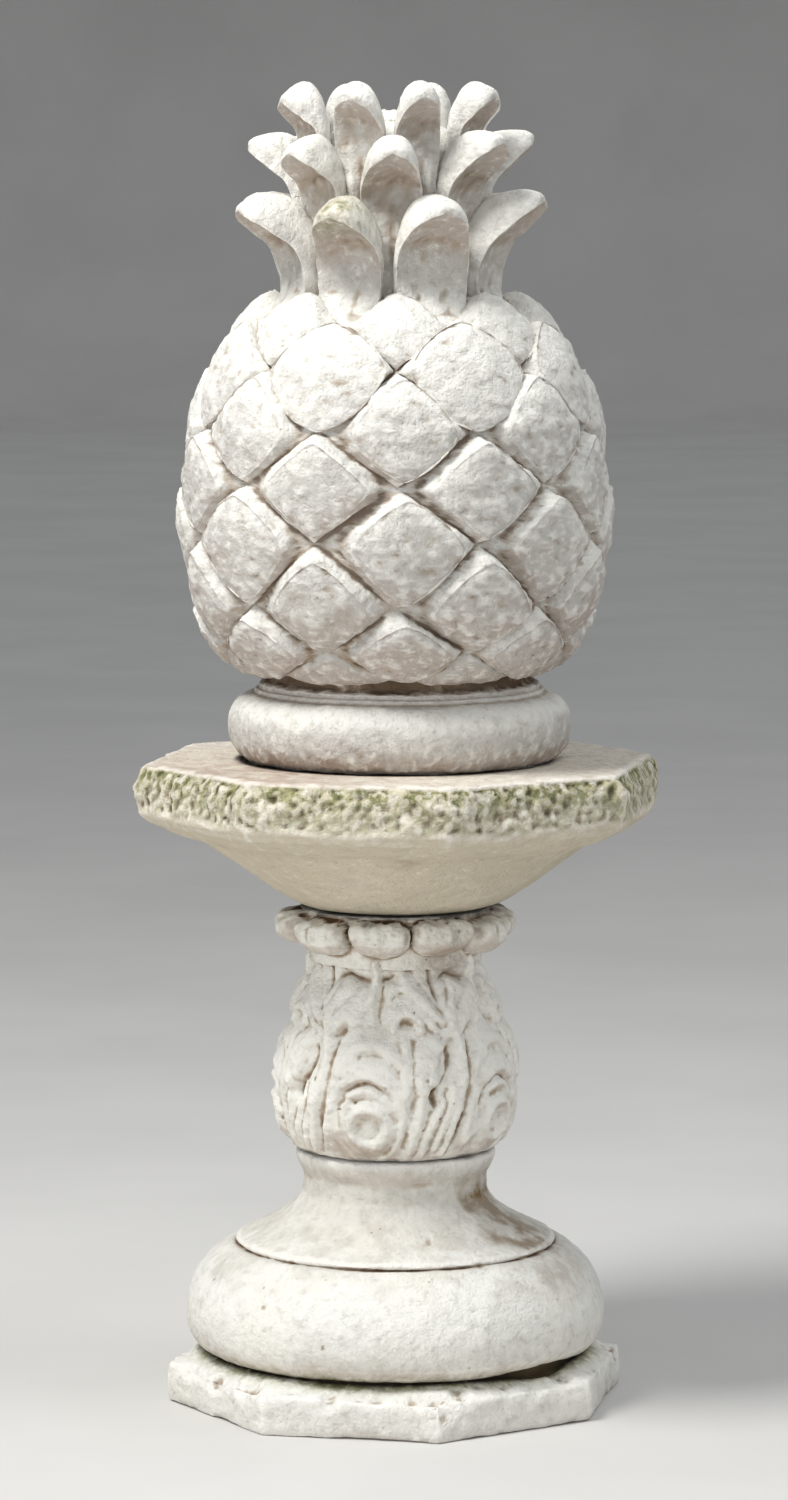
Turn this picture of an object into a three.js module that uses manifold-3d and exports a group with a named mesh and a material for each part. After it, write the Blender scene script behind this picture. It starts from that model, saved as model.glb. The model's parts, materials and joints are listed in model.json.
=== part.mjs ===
// Weathered concrete garden ornament: a pineapple standing on its own octagonal pedestal.
// Four castings rest on one another: base, baluster, slab and pineapple.
// Millimetres, +Z up, the front faces -Y, and the origin is the middle of the base's underside.
// An azimuth is measured in degrees from the front, growing towards the right (+X).

import * as THREE from 'three';
import Module from 'manifold-3d';

const wasm = await Module();
wasm.setup();

// Driving dimensions

const restGap = 0.3; // open joint between a casting and the one that it stands on
const cornerAzimuth = 10.5; // the corner of both octagons that is nearest to the front

// Base: octagonal plinth, cushion torus, swept skirt, stem and neck band
const plinthRadius = 176; // to the corners
const plinthHeight = 30;
const plinthEdge = 2.5; // worn edge of the plinth
const torusRadius = 160;
const torusHeight = 88.5;
const torusMiddle = 36; // from the plinth up to the widest line
const torusReach = 60; // how far the round side draws in as an ellipse
const torusRise = 58; // half height of that ellipse
const lipRadius = 122;
const lipHeight = 4.5;
const lipUndercut = 5; // groove between the torus and the lip
const skirtHeight = 39;
const skirtSweep = 1.8; // power by which the skirt draws in
const stemRadius = 70;
const stemHeight = 10;
const bandRadius = 76;
const bandHeight = 19.7;

// Baluster: acanthus bulb, neck and collar of curled leaf tips
const bulbFootRadius = 72;
const bulbRadius = 92;
const bulbMiddle = 56; // height of the widest line
const bulbHeight = 134;
const bulbDraw = 1.5; // power by which the bulb draws in to the neck
const neckRadius = 66;
const neckHeight = 13;
const collarRadius = 90; // over the curled leaf tips
const collarHeight = 38;
const collarTips = 10;
const tipAzimuth = -9; // the collar tip that faces the front
const tipWidth = 52;
const tipHeight = 34;
const tipDepth = 34;
const seatRadius = 74; // of the baluster's flat top
const bulbLeaves = 5;
const leafAzimuth = -15; // the bulb leaf that faces the front
const leafWidth = 58; // between the edges of a bulb leaf, where the bulb is widest
const leafHeight = 112;
const ribProud = 3; // of the leaf edges and the upright ribs between two leaves
const scrollHeight = 30; // of the scroll at the foot of each bulb leaf
const scrollRadius = 15;
const foldRadius = 31; // of the arched fold over the scroll
const scrollWidth = 11;
const scrollProud = 4.5;

// Slab: octagonal top with a thick rounded rim and a dished underside
const slabTopRadius = 191; // to the corners
const slabRimRadius = 203.5; // to the corners
const slabRimHeight = 43;
const slabDishRadius = 194; // where the underside meets the rim, to the corners
const slabDishHeight = 69;
const slabWornCorners = 0.6; // how much of the octagon is left along the rim's lower edge
const slabSeatRadius = 62;

// Pineapple: foot ring, flange, neck, fruit and crown
const footSeatRadius = 118;
const footRadius = 130;
const footHeight = 50;
const footMiddle = 28; // height of the widest line
const flangeRadius = 108;
const flangeHeight = 8;
const fruitNeckRadius = 94;
const fruitNeckHeight = 5;
const fruitRadius = 153.5; // to the grooves between the bosses
const fruitHeight = 286;
const bossesAround = 8;
const bossProudTop = 11; // a boss above the groove at its upper tip
const bossProudFoot = 4.5; // a boss above the groove at its lower tip
const bossSize = 0.79; // the face of a boss as a share of the diamond between the grooves
const bossRoundness = 1.15; // 1 leaves the face a plain diamond, 2 makes it an ellipse
const bossDome = 1.2; // the middle of the face above its rim
const bossDrop = 0.045; // the face sits low, so the sides along its upper edges are wider
const bossLean = 0.09; // and it sits to one side, by the azimuth from the next value
const leanAzimuth = -45;
const crownShift = -3.5; // the crown stands a little to the left
const coreRadius = 71;
const coreTopRadius = 52;
const coreHeight = 137;

// Tiers of crown leaves, with heights above the foot of the crown. A whole turn is one leaf.
// Each tier's droops say how far its leaves hang, from the front one towards the right.
const crownTiers = [
  {
    turn: 0.5, foot: -8, tip: 79, stemRadius: 77, tipRadius: 119, width: 58, hollow: 8,
    droops: [2, -3, 2, 0, 3, -2, 1, 5],
  },
  {
    turn: 0, foot: 42, tip: 124, stemRadius: 69, tipRadius: 109, width: 50, hollow: 7,
    droops: [13, 0, -3, 2, 4, 0, 4, 9],
  },
  {
    turn: 0.5, foot: 88, tip: 162, stemRadius: 63, tipRadius: 85, width: 45, hollow: 6,
    droops: [0, 0, 3, 1, 4, 0, 4, 2],
  },
];

// Facets around the turned forms and around the carved bulb
const roundSides = 24;
const bulbSides = 40;
const tipSides = 7;
const coreSides = 16;

const degree = Math.PI / 180;
const wholeTurn = 360;

// Levels of the stack

const baseHeight = plinthHeight + torusHeight + lipHeight + skirtHeight + stemHeight + bandHeight;
const balusterFloor = baseHeight + restGap;
const balusterHeight = bulbHeight + neckHeight + collarHeight;
const slabFloor = balusterFloor + balusterHeight + restGap;
const slabHeight = slabDishHeight + slabRimHeight;
const pineappleFloor = slabFloor + slabHeight + restGap;
const fruitFloor = pineappleFloor + footHeight + flangeHeight + fruitNeckHeight;
const crownFloor = fruitFloor + fruitHeight;

// Numbers and points

function blend(from, to, share) {
  return from + (to - from) * share;
}

function smooth(from, to, value) {
  const share = Math.min(1, Math.max(0, (value - from) / (to - from)));
  return share * share * (3 - 2 * share);
}

// A rounded hump of height 1 over zero, falling to nothing at about twice its width.
function hump(distance, width) {
  return Math.exp(-((distance / width) ** 2));
}

// Degrees from the nearest of several equal sectors' middles.
function fromMiddle(azimuth, sector) {
  return azimuth - Math.round(azimuth / sector) * sector;
}

function place(radius, azimuth, height) {
  return [radius * Math.sin(azimuth * degree), -radius * Math.cos(azimuth * degree), height];
}

// Steps on an elliptic arc between two angles, as [radius, height]; 0 degrees is outwards, 90 up.
function arc(middleRadius, middleHeight, reach, rise, fromAngle, toAngle, steps) {
  return Array.from({ length: steps + 1 }, (_, step) => {
    const angle = blend(fromAngle, toAngle, step / steps) * degree;
    return [middleRadius + reach * Math.cos(angle), middleHeight + rise * Math.sin(angle)];
  });
}

// Steps on a smooth line through a few points, as [radius, height].
function line(points, steps) {
  const curve = new THREE.SplineCurve(points.map(([radius, height]) => new THREE.Vector2(radius, height)));
  return curve.getPoints(steps).map((point) => [point.x, point.y]);
}

// A closed body made of corners and triangles. Corners with the same key are one corner.
class Shell {
  constructor() {
    this.positions = [];
    this.triangles = [];
    this.keys = new Map();
  }

  corner(point, key) {
    if (key !== undefined && this.keys.has(key)) return this.keys.get(key);
    const index = this.positions.length / 3;
    this.positions.push(...point);
    if (key !== undefined) this.keys.set(key, index);
    return index;
  }

  distance(from, to) {
    const steps = [0, 1, 2].map((axis) => this.positions[from * 3 + axis] - this.positions[to * 3 + axis]);
    return Math.hypot(...steps);
  }

  // Joins two loops of as many corners, both anticlockwise seen from above or outside.
  // Each face between them is split along its shorter diagonal.
  band(lower, upper) {
    lower.forEach((corner, i) => {
      const next = (i + 1) % lower.length;
      const rising = this.distance(corner, upper[next]);
      const falling = this.distance(lower[next], upper[i]);
      if (rising <= falling + 1e-6) {
        this.triangles.push(corner, lower[next], upper[next]);
        this.triangles.push(corner, upper[next], upper[i]);
      } else {
        this.triangles.push(corner, lower[next], upper[i]);
        this.triangles.push(lower[next], upper[next], upper[i]);
      }
    });
  }

  // Closes an anticlockwise loop with triangles about one corner.
  fan(loop, middle) {
    loop.forEach((corner, i) => {
      this.triangles.push(corner, loop[(i + 1) % loop.length], middle);
    });
  }

  // Joins several loops from the first to the last and closes both ends about their middles.
  stack(loops, firstMiddle, lastMiddle) {
    this.fan([...loops[0]].reverse(), this.corner(firstMiddle));
    for (let i = 1; i < loops.length; i += 1) this.band(loops[i - 1], loops[i]);
    this.fan(loops[loops.length - 1], this.corner(lastMiddle));
  }

  solid() {
    const vertProperties = new Float32Array(this.positions);
    const triVerts = new Uint32Array(this.triangles);
    return new wasm.Manifold(new wasm.Mesh({ numProp: 3, vertProperties, triVerts }));
  }
}

// A body of rings from the bottom up. ringPoint gives a ring's corner from its row and azimuth.
function ringShell(rows, sides, ringPoint) {
  const shell = new Shell();
  const loops = rows.map((row) =>
    Array.from({ length: sides }, (_, side) => shell.corner(ringPoint(row, side / sides * wholeTurn))));
  const middleOf = (row) => [0, 0, ringPoint(row, 0)[2]];
  shell.stack(loops, middleOf(rows[0]), middleOf(rows[rows.length - 1]));
  return shell;
}

// A turned body from [radius, height] rows.
function turnedShell(rows, sides) {
  return ringShell(rows, sides, ([radius, height], azimuth) => place(radius, azimuth, height));
}

// The corners and triangles of a joined solid.
function solidShell(solid) {
  const { vertProperties, triVerts } = solid.getMesh();
  const shell = new Shell();
  shell.positions = Array.from(vertProperties);
  shell.triangles = Array.from(triVerts);
  return shell;
}

function makeMesh(name, shell, colour, roughness) {
  const geometry = new THREE.BufferGeometry();
  geometry.setAttribute('position', new THREE.Float32BufferAttribute(shell.positions, 3));
  geometry.setIndex(shell.triangles);
  geometry.computeVertexNormals();
  const material = new THREE.MeshStandardMaterial({ color: colour, roughness, flatShading: true });
  const mesh = new THREE.Mesh(geometry, material);
  mesh.name = name;
  return mesh;
}

// Octagons

const octagonSide = wholeTurn / 8;

// How far an octagon lies inside the circle through its corners, by the azimuth from a corner.
function octagonShare(fromCorner) {
  const fromSideMiddle = fromMiddle(fromCorner - octagonSide / 2, octagonSide);
  return Math.cos(octagonSide / 2 * degree) / Math.cos(fromSideMiddle * degree);
}

// A corner of a ring that is octagonal where its share of corners is 1 and round where it is 0.
function octagonPoint([radius, height, corners = 0], fromCorner) {
  return place(radius * blend(1, octagonShare(fromCorner), corners), fromCorner + cornerAzimuth, height);
}

// Base

function makeBase() {
  const torusFloor = plinthHeight;
  const lipFloor = torusFloor + torusHeight;
  const skirtFloor = lipFloor + lipHeight;
  const bandFloor = skirtFloor + skirtHeight + stemHeight;
  const plinth = [
    [plinthRadius - plinthEdge, 0, 1],
    [plinthRadius, plinthEdge, 1],
    [plinthRadius, plinthHeight - plinthEdge, 1],
    [plinthRadius - plinthEdge, plinthHeight, 1],
  ];
  const torus = arc(torusRadius - torusReach, torusFloor + torusMiddle, torusReach, torusRise,
    -Math.asin(torusMiddle / torusRise) / degree,
    Math.asin((torusHeight - torusMiddle) / torusRise) / degree, 6);
  const skirtSteps = 5;
  const skirt = Array.from({ length: skirtSteps + 1 }, (_, step) => {
    const share = step / skirtSteps;
    return [blend(stemRadius, lipRadius, (1 - share) ** skirtSweep), skirtFloor + skirtHeight * share];
  });
  const rows = [
    ...plinth,
    ...torus,
    [lipRadius - lipUndercut, lipFloor + lipHeight * 0.15],
    [lipRadius, lipFloor + lipHeight * 0.3],
    ...skirt,
    [stemRadius, bandFloor],
    [blend(stemRadius, bandRadius, 0.7), bandFloor + bandHeight * 0.4],
    [bandRadius, bandFloor + bandHeight * 0.75],
    [bandRadius - 1, baseHeight],
  ];
  return makeMesh('base', ringShell(rows, roundSides, octagonPoint), '#d9d3c6', 0.92);
}

// Baluster

function bulbLine(height) {
  if (height < bulbMiddle) {
    const under = 1 - height / bulbMiddle;
    return blend(bulbFootRadius, bulbRadius, Math.sqrt(1 - under * under));
  }
  const share = (height - bulbMiddle) / (bulbHeight - bulbMiddle);
  return blend(bulbRadius, neckRadius, Math.min(1, share) ** bulbDraw);
}

// The low carving of the bulb: leaves with raised edges and a vein, and a rib between two leaves.
function bulbCarving(azimuth, height) {
  const sector = wholeTurn / bulbLeaves;
  const turn = Math.abs(fromMiddle(azimuth - leafAzimuth, sector));
  const edgeTurn = leafWidth / 2 / bulbRadius / degree;
  const detail = edgeTurn * 0.35;
  const edges = hump(turn - edgeTurn, detail);
  const grooves = hump(turn - (edgeTurn + sector / 2) / 2, detail);
  const rib = hump(turn - sector / 2, detail);
  const vein = hump(turn, detail) * smooth(foldRadius, leafHeight, height);
  const ends = smooth(0, bulbMiddle * 0.2, height) * (1 - smooth(leafHeight * 0.9, bulbHeight, height));
  return ribProud * ends * (edges + rib - grooves - vein);
}

// A point on the bulb beside the middle of a leaf; across is measured where the bulb is widest.
function bulbPoint(middleAzimuth, [across, height], proud) {
  const azimuth = middleAzimuth + across / bulbRadius / degree;
  return place(bulbLine(height) + proud, azimuth, balusterFloor + height);
}

// A carved ridge along a path of [across, height] points, with its underside sunk into the bulb.
// A loop's path ends where it starts; any other ridge tapers towards both ends.
function ridgeSolid(middleAzimuth, path, isLoop) {
  const shell = new Shell();
  const last = path.length - 1;
  const loops = path.map((point, i) => {
    const firstBefore = isLoop ? last - 1 : 0;
    const before = path[i === 0 ? firstBefore : i - 1];
    const after = path[Math.min(i + 1, last)];
    const length = Math.hypot(after[0] - before[0], after[1] - before[1]);
    const left = [-(after[1] - before[1]) / length, (after[0] - before[0]) / length];
    const size = isLoop ? 1 : blend(0.5, 1, Math.sin(Math.PI * i / last));
    const beside = (side) => [point[0] + left[0] * side, point[1] + left[1] * side];
    const half = scrollWidth / 2 * size;
    const flankProud = -scrollProud * 0.3;
    return [
      shell.corner(bulbPoint(middleAzimuth, beside(half), flankProud)),
      shell.corner(bulbPoint(middleAzimuth, point, scrollProud * size)),
      shell.corner(bulbPoint(middleAzimuth, beside(-half), flankProud)),
      shell.corner(bulbPoint(middleAzimuth, point, -scrollProud)),
    ];
  });
  if (isLoop) {
    for (let i = 0; i < last; i += 1) shell.band(loops[i], loops[(i + 1) % last]);
  } else {
    shell.stack(loops, bulbPoint(middleAzimuth, path[0], 0), bulbPoint(middleAzimuth, path[last], 0));
  }
  return shell.solid();
}

// The high carving of one bulb leaf: a scroll and an arched fold over it.
function leafRidges(middleAzimuth) {
  const scroll = arc(0, scrollHeight, scrollRadius, scrollRadius, 0, wholeTurn, 7);
  const fold = arc(0, scrollHeight, foldRadius, foldRadius, 15, 165, 5);
  return [ridgeSolid(middleAzimuth, scroll, true), ridgeSolid(middleAzimuth, fold, false)];
}

// One curled leaf tip of the collar: a rounded lobe, wider than it is tall.
function tipSolid(azimuth) {
  const middle = bulbHeight + neckHeight + collarHeight / 2;
  const rows = arc(0, 0, 1, tipHeight / 2, -60, 60, 3);
  const shell = new Shell();
  const tipPoint = (share, height, side) => {
    const out = collarRadius - tipDepth / 2 * (1 - share * Math.cos(side * degree));
    const [x, y, z] = place(out, azimuth, balusterFloor + middle + height);
    const across = tipWidth / 2 * share * Math.sin(side * degree);
    return [x + across * Math.cos(azimuth * degree), y + across * Math.sin(azimuth * degree), z];
  };
  const sideTurn = wholeTurn / tipSides;
  const loops = rows.map(([share, height]) =>
    Array.from({ length: tipSides }, (_, side) => shell.corner(tipPoint(share, height, side * sideTurn))));
  shell.stack(loops, tipPoint(0, -tipHeight / 2, 0), tipPoint(0, tipHeight / 2, 0));
  return shell.solid();
}

function makeBaluster() {
  const neckTop = bulbHeight + neckHeight;
  const bulbSteps = 8;
  const bulbRows = Array.from({ length: bulbSteps + 1 }, (_, step) => {
    const height = bulbHeight * (step / bulbSteps) ** 1.15;
    return [bulbLine(height), height];
  });
  const rows = [
    ...bulbRows,
    [neckRadius + 2, neckTop],
    [seatRadius, neckTop + collarHeight * 0.5],
    [seatRadius, balusterHeight],
  ];
  const body = ringShell(rows, bulbSides, ([radius, height], turn) => {
    const azimuth = turn + leafAzimuth;
    return place(radius + bulbCarving(azimuth, height), azimuth, balusterFloor + height);
  });
  const carvings = [];
  for (let leaf = 0; leaf < bulbLeaves; leaf += 1) {
    carvings.push(...leafRidges(leafAzimuth + leaf * wholeTurn / bulbLeaves));
  }
  for (let tip = 0; tip < collarTips; tip += 1) {
    carvings.push(tipSolid(tipAzimuth + tip * wholeTurn / collarTips));
  }
  const whole = carvings.reduce((joined, carving) => joined.add(carving), body.solid());
  return makeMesh('baluster', solidShell(whole), '#dcd6ca', 0.93);
}

// Slab

function makeSlab() {
  const rimMiddle = slabFloor + slabDishHeight + slabRimHeight / 2;
  const dish = line([
    [slabSeatRadius, slabFloor],
    [blend(slabSeatRadius, slabDishRadius, 0.12), slabFloor + slabDishHeight * 0.06],
    [blend(slabSeatRadius, slabDishRadius, 0.28), slabFloor + slabDishHeight * 0.24],
    [blend(slabSeatRadius, slabDishRadius, 0.66), slabFloor + slabDishHeight * 0.73],
    [blend(slabSeatRadius, slabDishRadius, 0.84), slabFloor + slabDishHeight * 0.85],
    [slabDishRadius, slabFloor + slabDishHeight],
  ], 8);
  const rim = arc(slabTopRadius, rimMiddle, slabRimRadius - slabTopRadius, slabRimHeight / 2, -60, 70, 5);
  const rows = [
    ...dish.map(([radius, height]) =>
      [radius, height, slabWornCorners * smooth(slabSeatRadius * 1.5, slabDishRadius, radius)]),
    ...rim.map(([radius, height]) =>
      [radius, height, blend(slabWornCorners, 1, smooth(rimMiddle - slabRimHeight / 2, rimMiddle, height))]),
    [slabTopRadius, slabFloor + slabHeight, 1],
  ];
  return makeMesh('slab', ringShell(rows, roundSides, octagonPoint), '#c9c3ae', 0.95);
}

// Pineapple

// The fruit's surface down in the grooves, through the levels on which the grooves cross.
const grooveLevels = [
  [0.51, 1.0], [0.69, 0.925], [0.83, 0.82], [0.95, 0.67], [0.99, 0.53],
  [1.0, 0.385], [0.94, 0.215], [0.85, 0.105], [0.72, 0.02], [0.6, -0.01],
].map(([radius, height]) => new THREE.Vector2(radius * fruitRadius, fruitFloor + height * fruitHeight));
const grooveLine = new THREE.SplineCurve(grooveLevels);

// A point proud of the grooves. The level counts the groove crossings down from the crown.
function fruitPoint(azimuth, level, proud) {
  const share = level / (grooveLevels.length - 1);
  const point = grooveLine.getPoint(share);
  const down = grooveLine.getTangent(share);
  return place(point.x - down.y * proud, azimuth, point.y + down.x * proud);
}

// Adds one boss: a rounded diamond that stands proud between four groove crossings.
function addBoss(shell, level, column) {
  const columns = bossesAround * 2;
  const columnTurn = wholeTurn / columns;
  const lean = bossLean * Math.sin((column * columnTurn - leanAzimuth) * degree);
  const border = [[1, 0], [0.5, 0.5], [0, 1], [-0.5, 0.5], [-1, 0], [-0.5, -0.5], [0, -1], [0.5, -0.5]];
  const pointOn = (across, up, proud) => {
    const height = blend(bossProudFoot, bossProudTop, (up + 1) / 2) * proud;
    return fruitPoint((column + across) * columnTurn, level - up, height);
  };
  const groove = border.map(([across, up]) => {
    const crossingColumn = (column + across + columns) % columns;
    return shell.corner(pointOn(across, up, 0), `${crossingColumn} ${level - up}`);
  });
  const face = border.map(([across, up]) => {
    const reach = (Math.abs(across) ** bossRoundness + Math.abs(up) ** bossRoundness) ** (1 / bossRoundness);
    const share = bossSize / reach;
    return shell.corner(pointOn(across * share + lean, up * share - bossDrop, 1));
  });
  shell.band(groove, face);
  shell.fan(face, shell.corner(pointOn(lean, -bossDrop, bossDome)));
}

// The fruit: staggered rings of bosses, closed above and below by fans inside the neck and crown.
function fruitSolid() {
  const shell = new Shell();
  const columns = bossesAround * 2;
  const lastLevel = grooveLevels.length - 1;
  for (let level = 1; level < lastLevel; level += 1) {
    for (let boss = 0; boss < bossesAround; boss += 1) addBoss(shell, level, boss * 2 + (level + 1) % 2);
  }
  const edge = (tipLevel, bossLevel) => Array.from({ length: columns * 2 }, (_, i) => {
    const column = i / 2;
    const isTip = column % 2 === (bossLevel + 1) % 2;
    const isCorner = column % 2 === bossLevel % 2;
    const level = isTip ? tipLevel : isCorner ? bossLevel : (tipLevel + bossLevel) / 2;
    return shell.keys.get(`${column} ${level}`);
  });
  shell.fan(edge(0, 1), shell.corner([0, 0, grooveLevels[0].y]));
  shell.fan(edge(lastLevel, lastLevel - 1).reverse(), shell.corner([0, 0, grooveLevels[lastLevel].y]));
  return shell.solid();
}

function footSolid() {
  const flangeFloor = pineappleFloor + footHeight;
  const neckFloor = flangeFloor + flangeHeight;
  const reach = (footRadius - footSeatRadius) * 1.5;
  const ring = arc(footRadius - reach, pineappleFloor + footMiddle, reach, footMiddle, -70, 55, 4);
  return turnedShell([
    [footSeatRadius, pineappleFloor],
    ...ring,
    [flangeRadius + 2, flangeFloor + flangeHeight * 0.35],
    [flangeRadius, neckFloor - 1],
    [fruitNeckRadius, neckFloor],
    [fruitNeckRadius, fruitFloor + fruitHeight * 0.1],
  ], roundSides).solid();
}

function coreSolid() {
  const rows = [
    [coreRadius, crownFloor - fruitHeight * 0.1],
    [coreRadius, crownFloor + coreHeight * 0.1],
    [coreTopRadius, crownFloor + coreHeight * 0.92],
    [coreTopRadius * 0.6, crownFloor + coreHeight],
  ];
  return turnedShell(rows, coreSides).solid().translate([crownShift, 0, 0]);
}

// One crown leaf: it stands up, curls outwards and ends in a rounded lip over a hollow.
function leafSolid(tier, azimuth, droop) {
  const reach = tier.tipRadius - tier.stemRadius;
  const rise = tier.tip - tier.foot;
  const under = line([[0, 0], [0.02, 0.35], [0.45, 0.6], [1, 0.79]], 5);
  const over = line([[-0.5, 0.02], [-0.5, 0.5], [0.1, 0.95], [0.93, 0.97]], 5);
  const widths = [0.84, 0.95, 1, 1, 0.92, 0.62];
  const hollows = [0, 0.35, 1, 1, 0.6, 0.1];
  const shell = new Shell();
  const leafPoint = ([out, up], side) => {
    const height = crownFloor + tier.foot + rise * up - droop * smooth(0, 1, out);
    const [x, y, z] = place(tier.stemRadius + reach * out, azimuth, height);
    return [crownShift + x + side * Math.cos(azimuth * degree), y + side * Math.sin(azimuth * degree), z];
  };
  const between = (from, to, share) => [blend(from[0], to[0], share), blend(from[1], to[1], share)];
  const edgeDepth = 0.25;
  const insideWidth = 0.6;
  const loops = under.map((outside, i) => {
    const inside = over[i];
    const half = tier.width / 2 * widths[i];
    const hollow = hollows[i] * tier.hollow;
    const hollowed = [outside[0] - hollow / reach, outside[1] + hollow / rise];
    const edge = between(outside, inside, edgeDepth);
    return [
      shell.corner(leafPoint(hollowed, 0)),
      shell.corner(leafPoint(edge, half)),
      shell.corner(leafPoint(inside, half * insideWidth)),
      shell.corner(leafPoint(inside, -half * insideWidth)),
      shell.corner(leafPoint(edge, -half)),
    ];
  });
  const last = under.length - 1;
  const [tipOut, tipUp] = between(under[last], over[last], 0.5);
  shell.stack(loops, leafPoint(between(under[0], over[0], 0.5), 0), leafPoint([tipOut + 0.03, tipUp], 0));
  return shell.solid();
}

function makePineapple() {
  let whole = footSolid().add(fruitSolid()).add(coreSolid());
  const leafTurn = wholeTurn / bossesAround;
  crownTiers.forEach((tier) => {
    for (let leaf = 0; leaf < bossesAround; leaf += 1) {
      whole = whole.add(leafSolid(tier, (leaf + tier.turn) * leafTurn, tier.droops[leaf]));
    }
  });
  return makeMesh('pineapple', solidShell(whole), '#e2ddd4', 0.9);
}

const ornament = new THREE.Group();
ornament.add(makeBase(), makeBaluster(), makeSlab(), makePineapple());

export default ornament;
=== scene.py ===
# Looks of the weathered concrete pineapple and its pedestal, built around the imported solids.
# Shapes are worked out in millimetres, with +Z up and the front facing -Y.
# An azimuth is measured in degrees from the front, growing towards the right (+X).

import json
import math
import bpy
import numpy as np
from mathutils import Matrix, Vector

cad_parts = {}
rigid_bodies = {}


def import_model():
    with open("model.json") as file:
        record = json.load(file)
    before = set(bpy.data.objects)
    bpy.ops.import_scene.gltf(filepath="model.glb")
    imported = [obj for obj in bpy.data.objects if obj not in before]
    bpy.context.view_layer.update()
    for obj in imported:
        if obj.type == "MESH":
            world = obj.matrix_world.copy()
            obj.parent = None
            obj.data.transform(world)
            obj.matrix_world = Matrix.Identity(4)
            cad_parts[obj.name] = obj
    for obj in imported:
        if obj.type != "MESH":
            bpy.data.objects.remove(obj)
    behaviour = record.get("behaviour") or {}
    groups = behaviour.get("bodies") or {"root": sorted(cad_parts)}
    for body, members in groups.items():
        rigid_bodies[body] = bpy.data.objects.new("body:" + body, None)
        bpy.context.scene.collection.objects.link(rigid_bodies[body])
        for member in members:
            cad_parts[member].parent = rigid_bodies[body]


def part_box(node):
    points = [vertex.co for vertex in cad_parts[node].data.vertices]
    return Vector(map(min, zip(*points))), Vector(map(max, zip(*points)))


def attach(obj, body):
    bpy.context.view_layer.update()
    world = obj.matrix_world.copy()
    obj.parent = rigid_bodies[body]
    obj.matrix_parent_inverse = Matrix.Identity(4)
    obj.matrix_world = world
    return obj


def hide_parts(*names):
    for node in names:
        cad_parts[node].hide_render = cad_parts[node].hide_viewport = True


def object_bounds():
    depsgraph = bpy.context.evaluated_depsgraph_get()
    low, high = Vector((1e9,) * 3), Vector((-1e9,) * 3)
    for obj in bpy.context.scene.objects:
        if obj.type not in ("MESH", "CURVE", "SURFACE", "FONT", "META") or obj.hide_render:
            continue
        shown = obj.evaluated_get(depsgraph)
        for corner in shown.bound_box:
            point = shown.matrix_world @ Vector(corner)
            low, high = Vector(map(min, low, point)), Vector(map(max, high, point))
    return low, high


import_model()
cad_low, cad_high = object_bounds()

MM = 0.001
WHOLE_TURN = 360.0


def level(node, end):
    """Height in millimetres of a node's lowest (0) or highest (1) point."""
    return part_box(node)[end].z / MM


# Levels of the stack, from the frame
BASE_TOP = level("base", 1)
BALUSTER_FLOOR = level("baluster", 0)
BALUSTER_TOP = level("baluster", 1)
SLAB_FLOOR = level("slab", 0)
SLAB_TOP = level("slab", 1)
PINEAPPLE_FLOOR = level("pineapple", 0)

# Sizes that the solids share with this scene
CORNER_AZIMUTH = 10.5
PLINTH_RADIUS, PLINTH_HEIGHT = 176.0, 30.0
TORUS_RADIUS, TORUS_HEIGHT, TORUS_MIDDLE = 160.0, 88.5, 36.0
TORUS_REACH, TORUS_RISE = 60.0, 58.0
LIP_RADIUS, LIP_HEIGHT, LIP_UNDERCUT = 122.0, 4.5, 2.8
SKIRT_HEIGHT, SKIRT_SWEEP = 39.0, 1.8
STEM_RADIUS, STEM_HEIGHT = 70.0, 10.0
BAND_RADIUS = 76.0

BULB_FOOT_RADIUS, BULB_RADIUS, BULB_MIDDLE = 72.0, 92.0, 56.0
BULB_HEIGHT, BULB_DRAW = 134.0, 1.5
NECK_RADIUS, NECK_HEIGHT = 66.0, 13.0
COLLAR_RADIUS, COLLAR_HEIGHT = 90.0, 38.0
COLLAR_TIPS, TIP_AZIMUTH = 10, -9.0
TIP_TURN = WHOLE_TURN / COLLAR_TIPS
BULB_LEAVES, LEAF_AZIMUTH = 5, -15.0
SEAT_RADIUS = 74.0

SLAB_TOP_RADIUS, SLAB_RIM_RADIUS, SLAB_RIM_HEIGHT = 191.0, 203.5, 43.0
SLAB_DISH_RADIUS, SLAB_DISH_HEIGHT = 194.0, 69.0
SLAB_WORN_CORNERS = 0.6
SLAB_SEAT_RADIUS = 62.0
SLAB_SHIFT = 3.0

FOOT_SEAT_RADIUS, FOOT_RADIUS, FOOT_HEIGHT, FOOT_MIDDLE = 118.0, 130.0, 50.0, 28.0
FLANGE_RADIUS, FLANGE_HEIGHT = 108.0, 8.0
FRUIT_NECK_RADIUS, FRUIT_NECK_HEIGHT = 94.0, 5.0
FRUIT_RADIUS, FRUIT_HEIGHT = 153.5, 286.0
FRUIT_FLOOR = PINEAPPLE_FLOOR + FOOT_HEIGHT + FLANGE_HEIGHT + FRUIT_NECK_HEIGHT
BOSSES_AROUND = 8
BOSS_PROUD_TOP, BOSS_PROUD_FOOT = 13.0, 5.5
BOSS_DROP, BOSS_LEAN, MOULD_SEAM = 0.085, 0.14, -28.0
CROWN_FLOOR = FRUIT_FLOOR + FRUIT_HEIGHT
CROWN_SHIFT, FOOT_SHIFT = -3.5, 3.0
CORE_RADIUS, CORE_TOP_RADIUS, CORE_HEIGHT = 71.0, 52.0, 137.0
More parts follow.
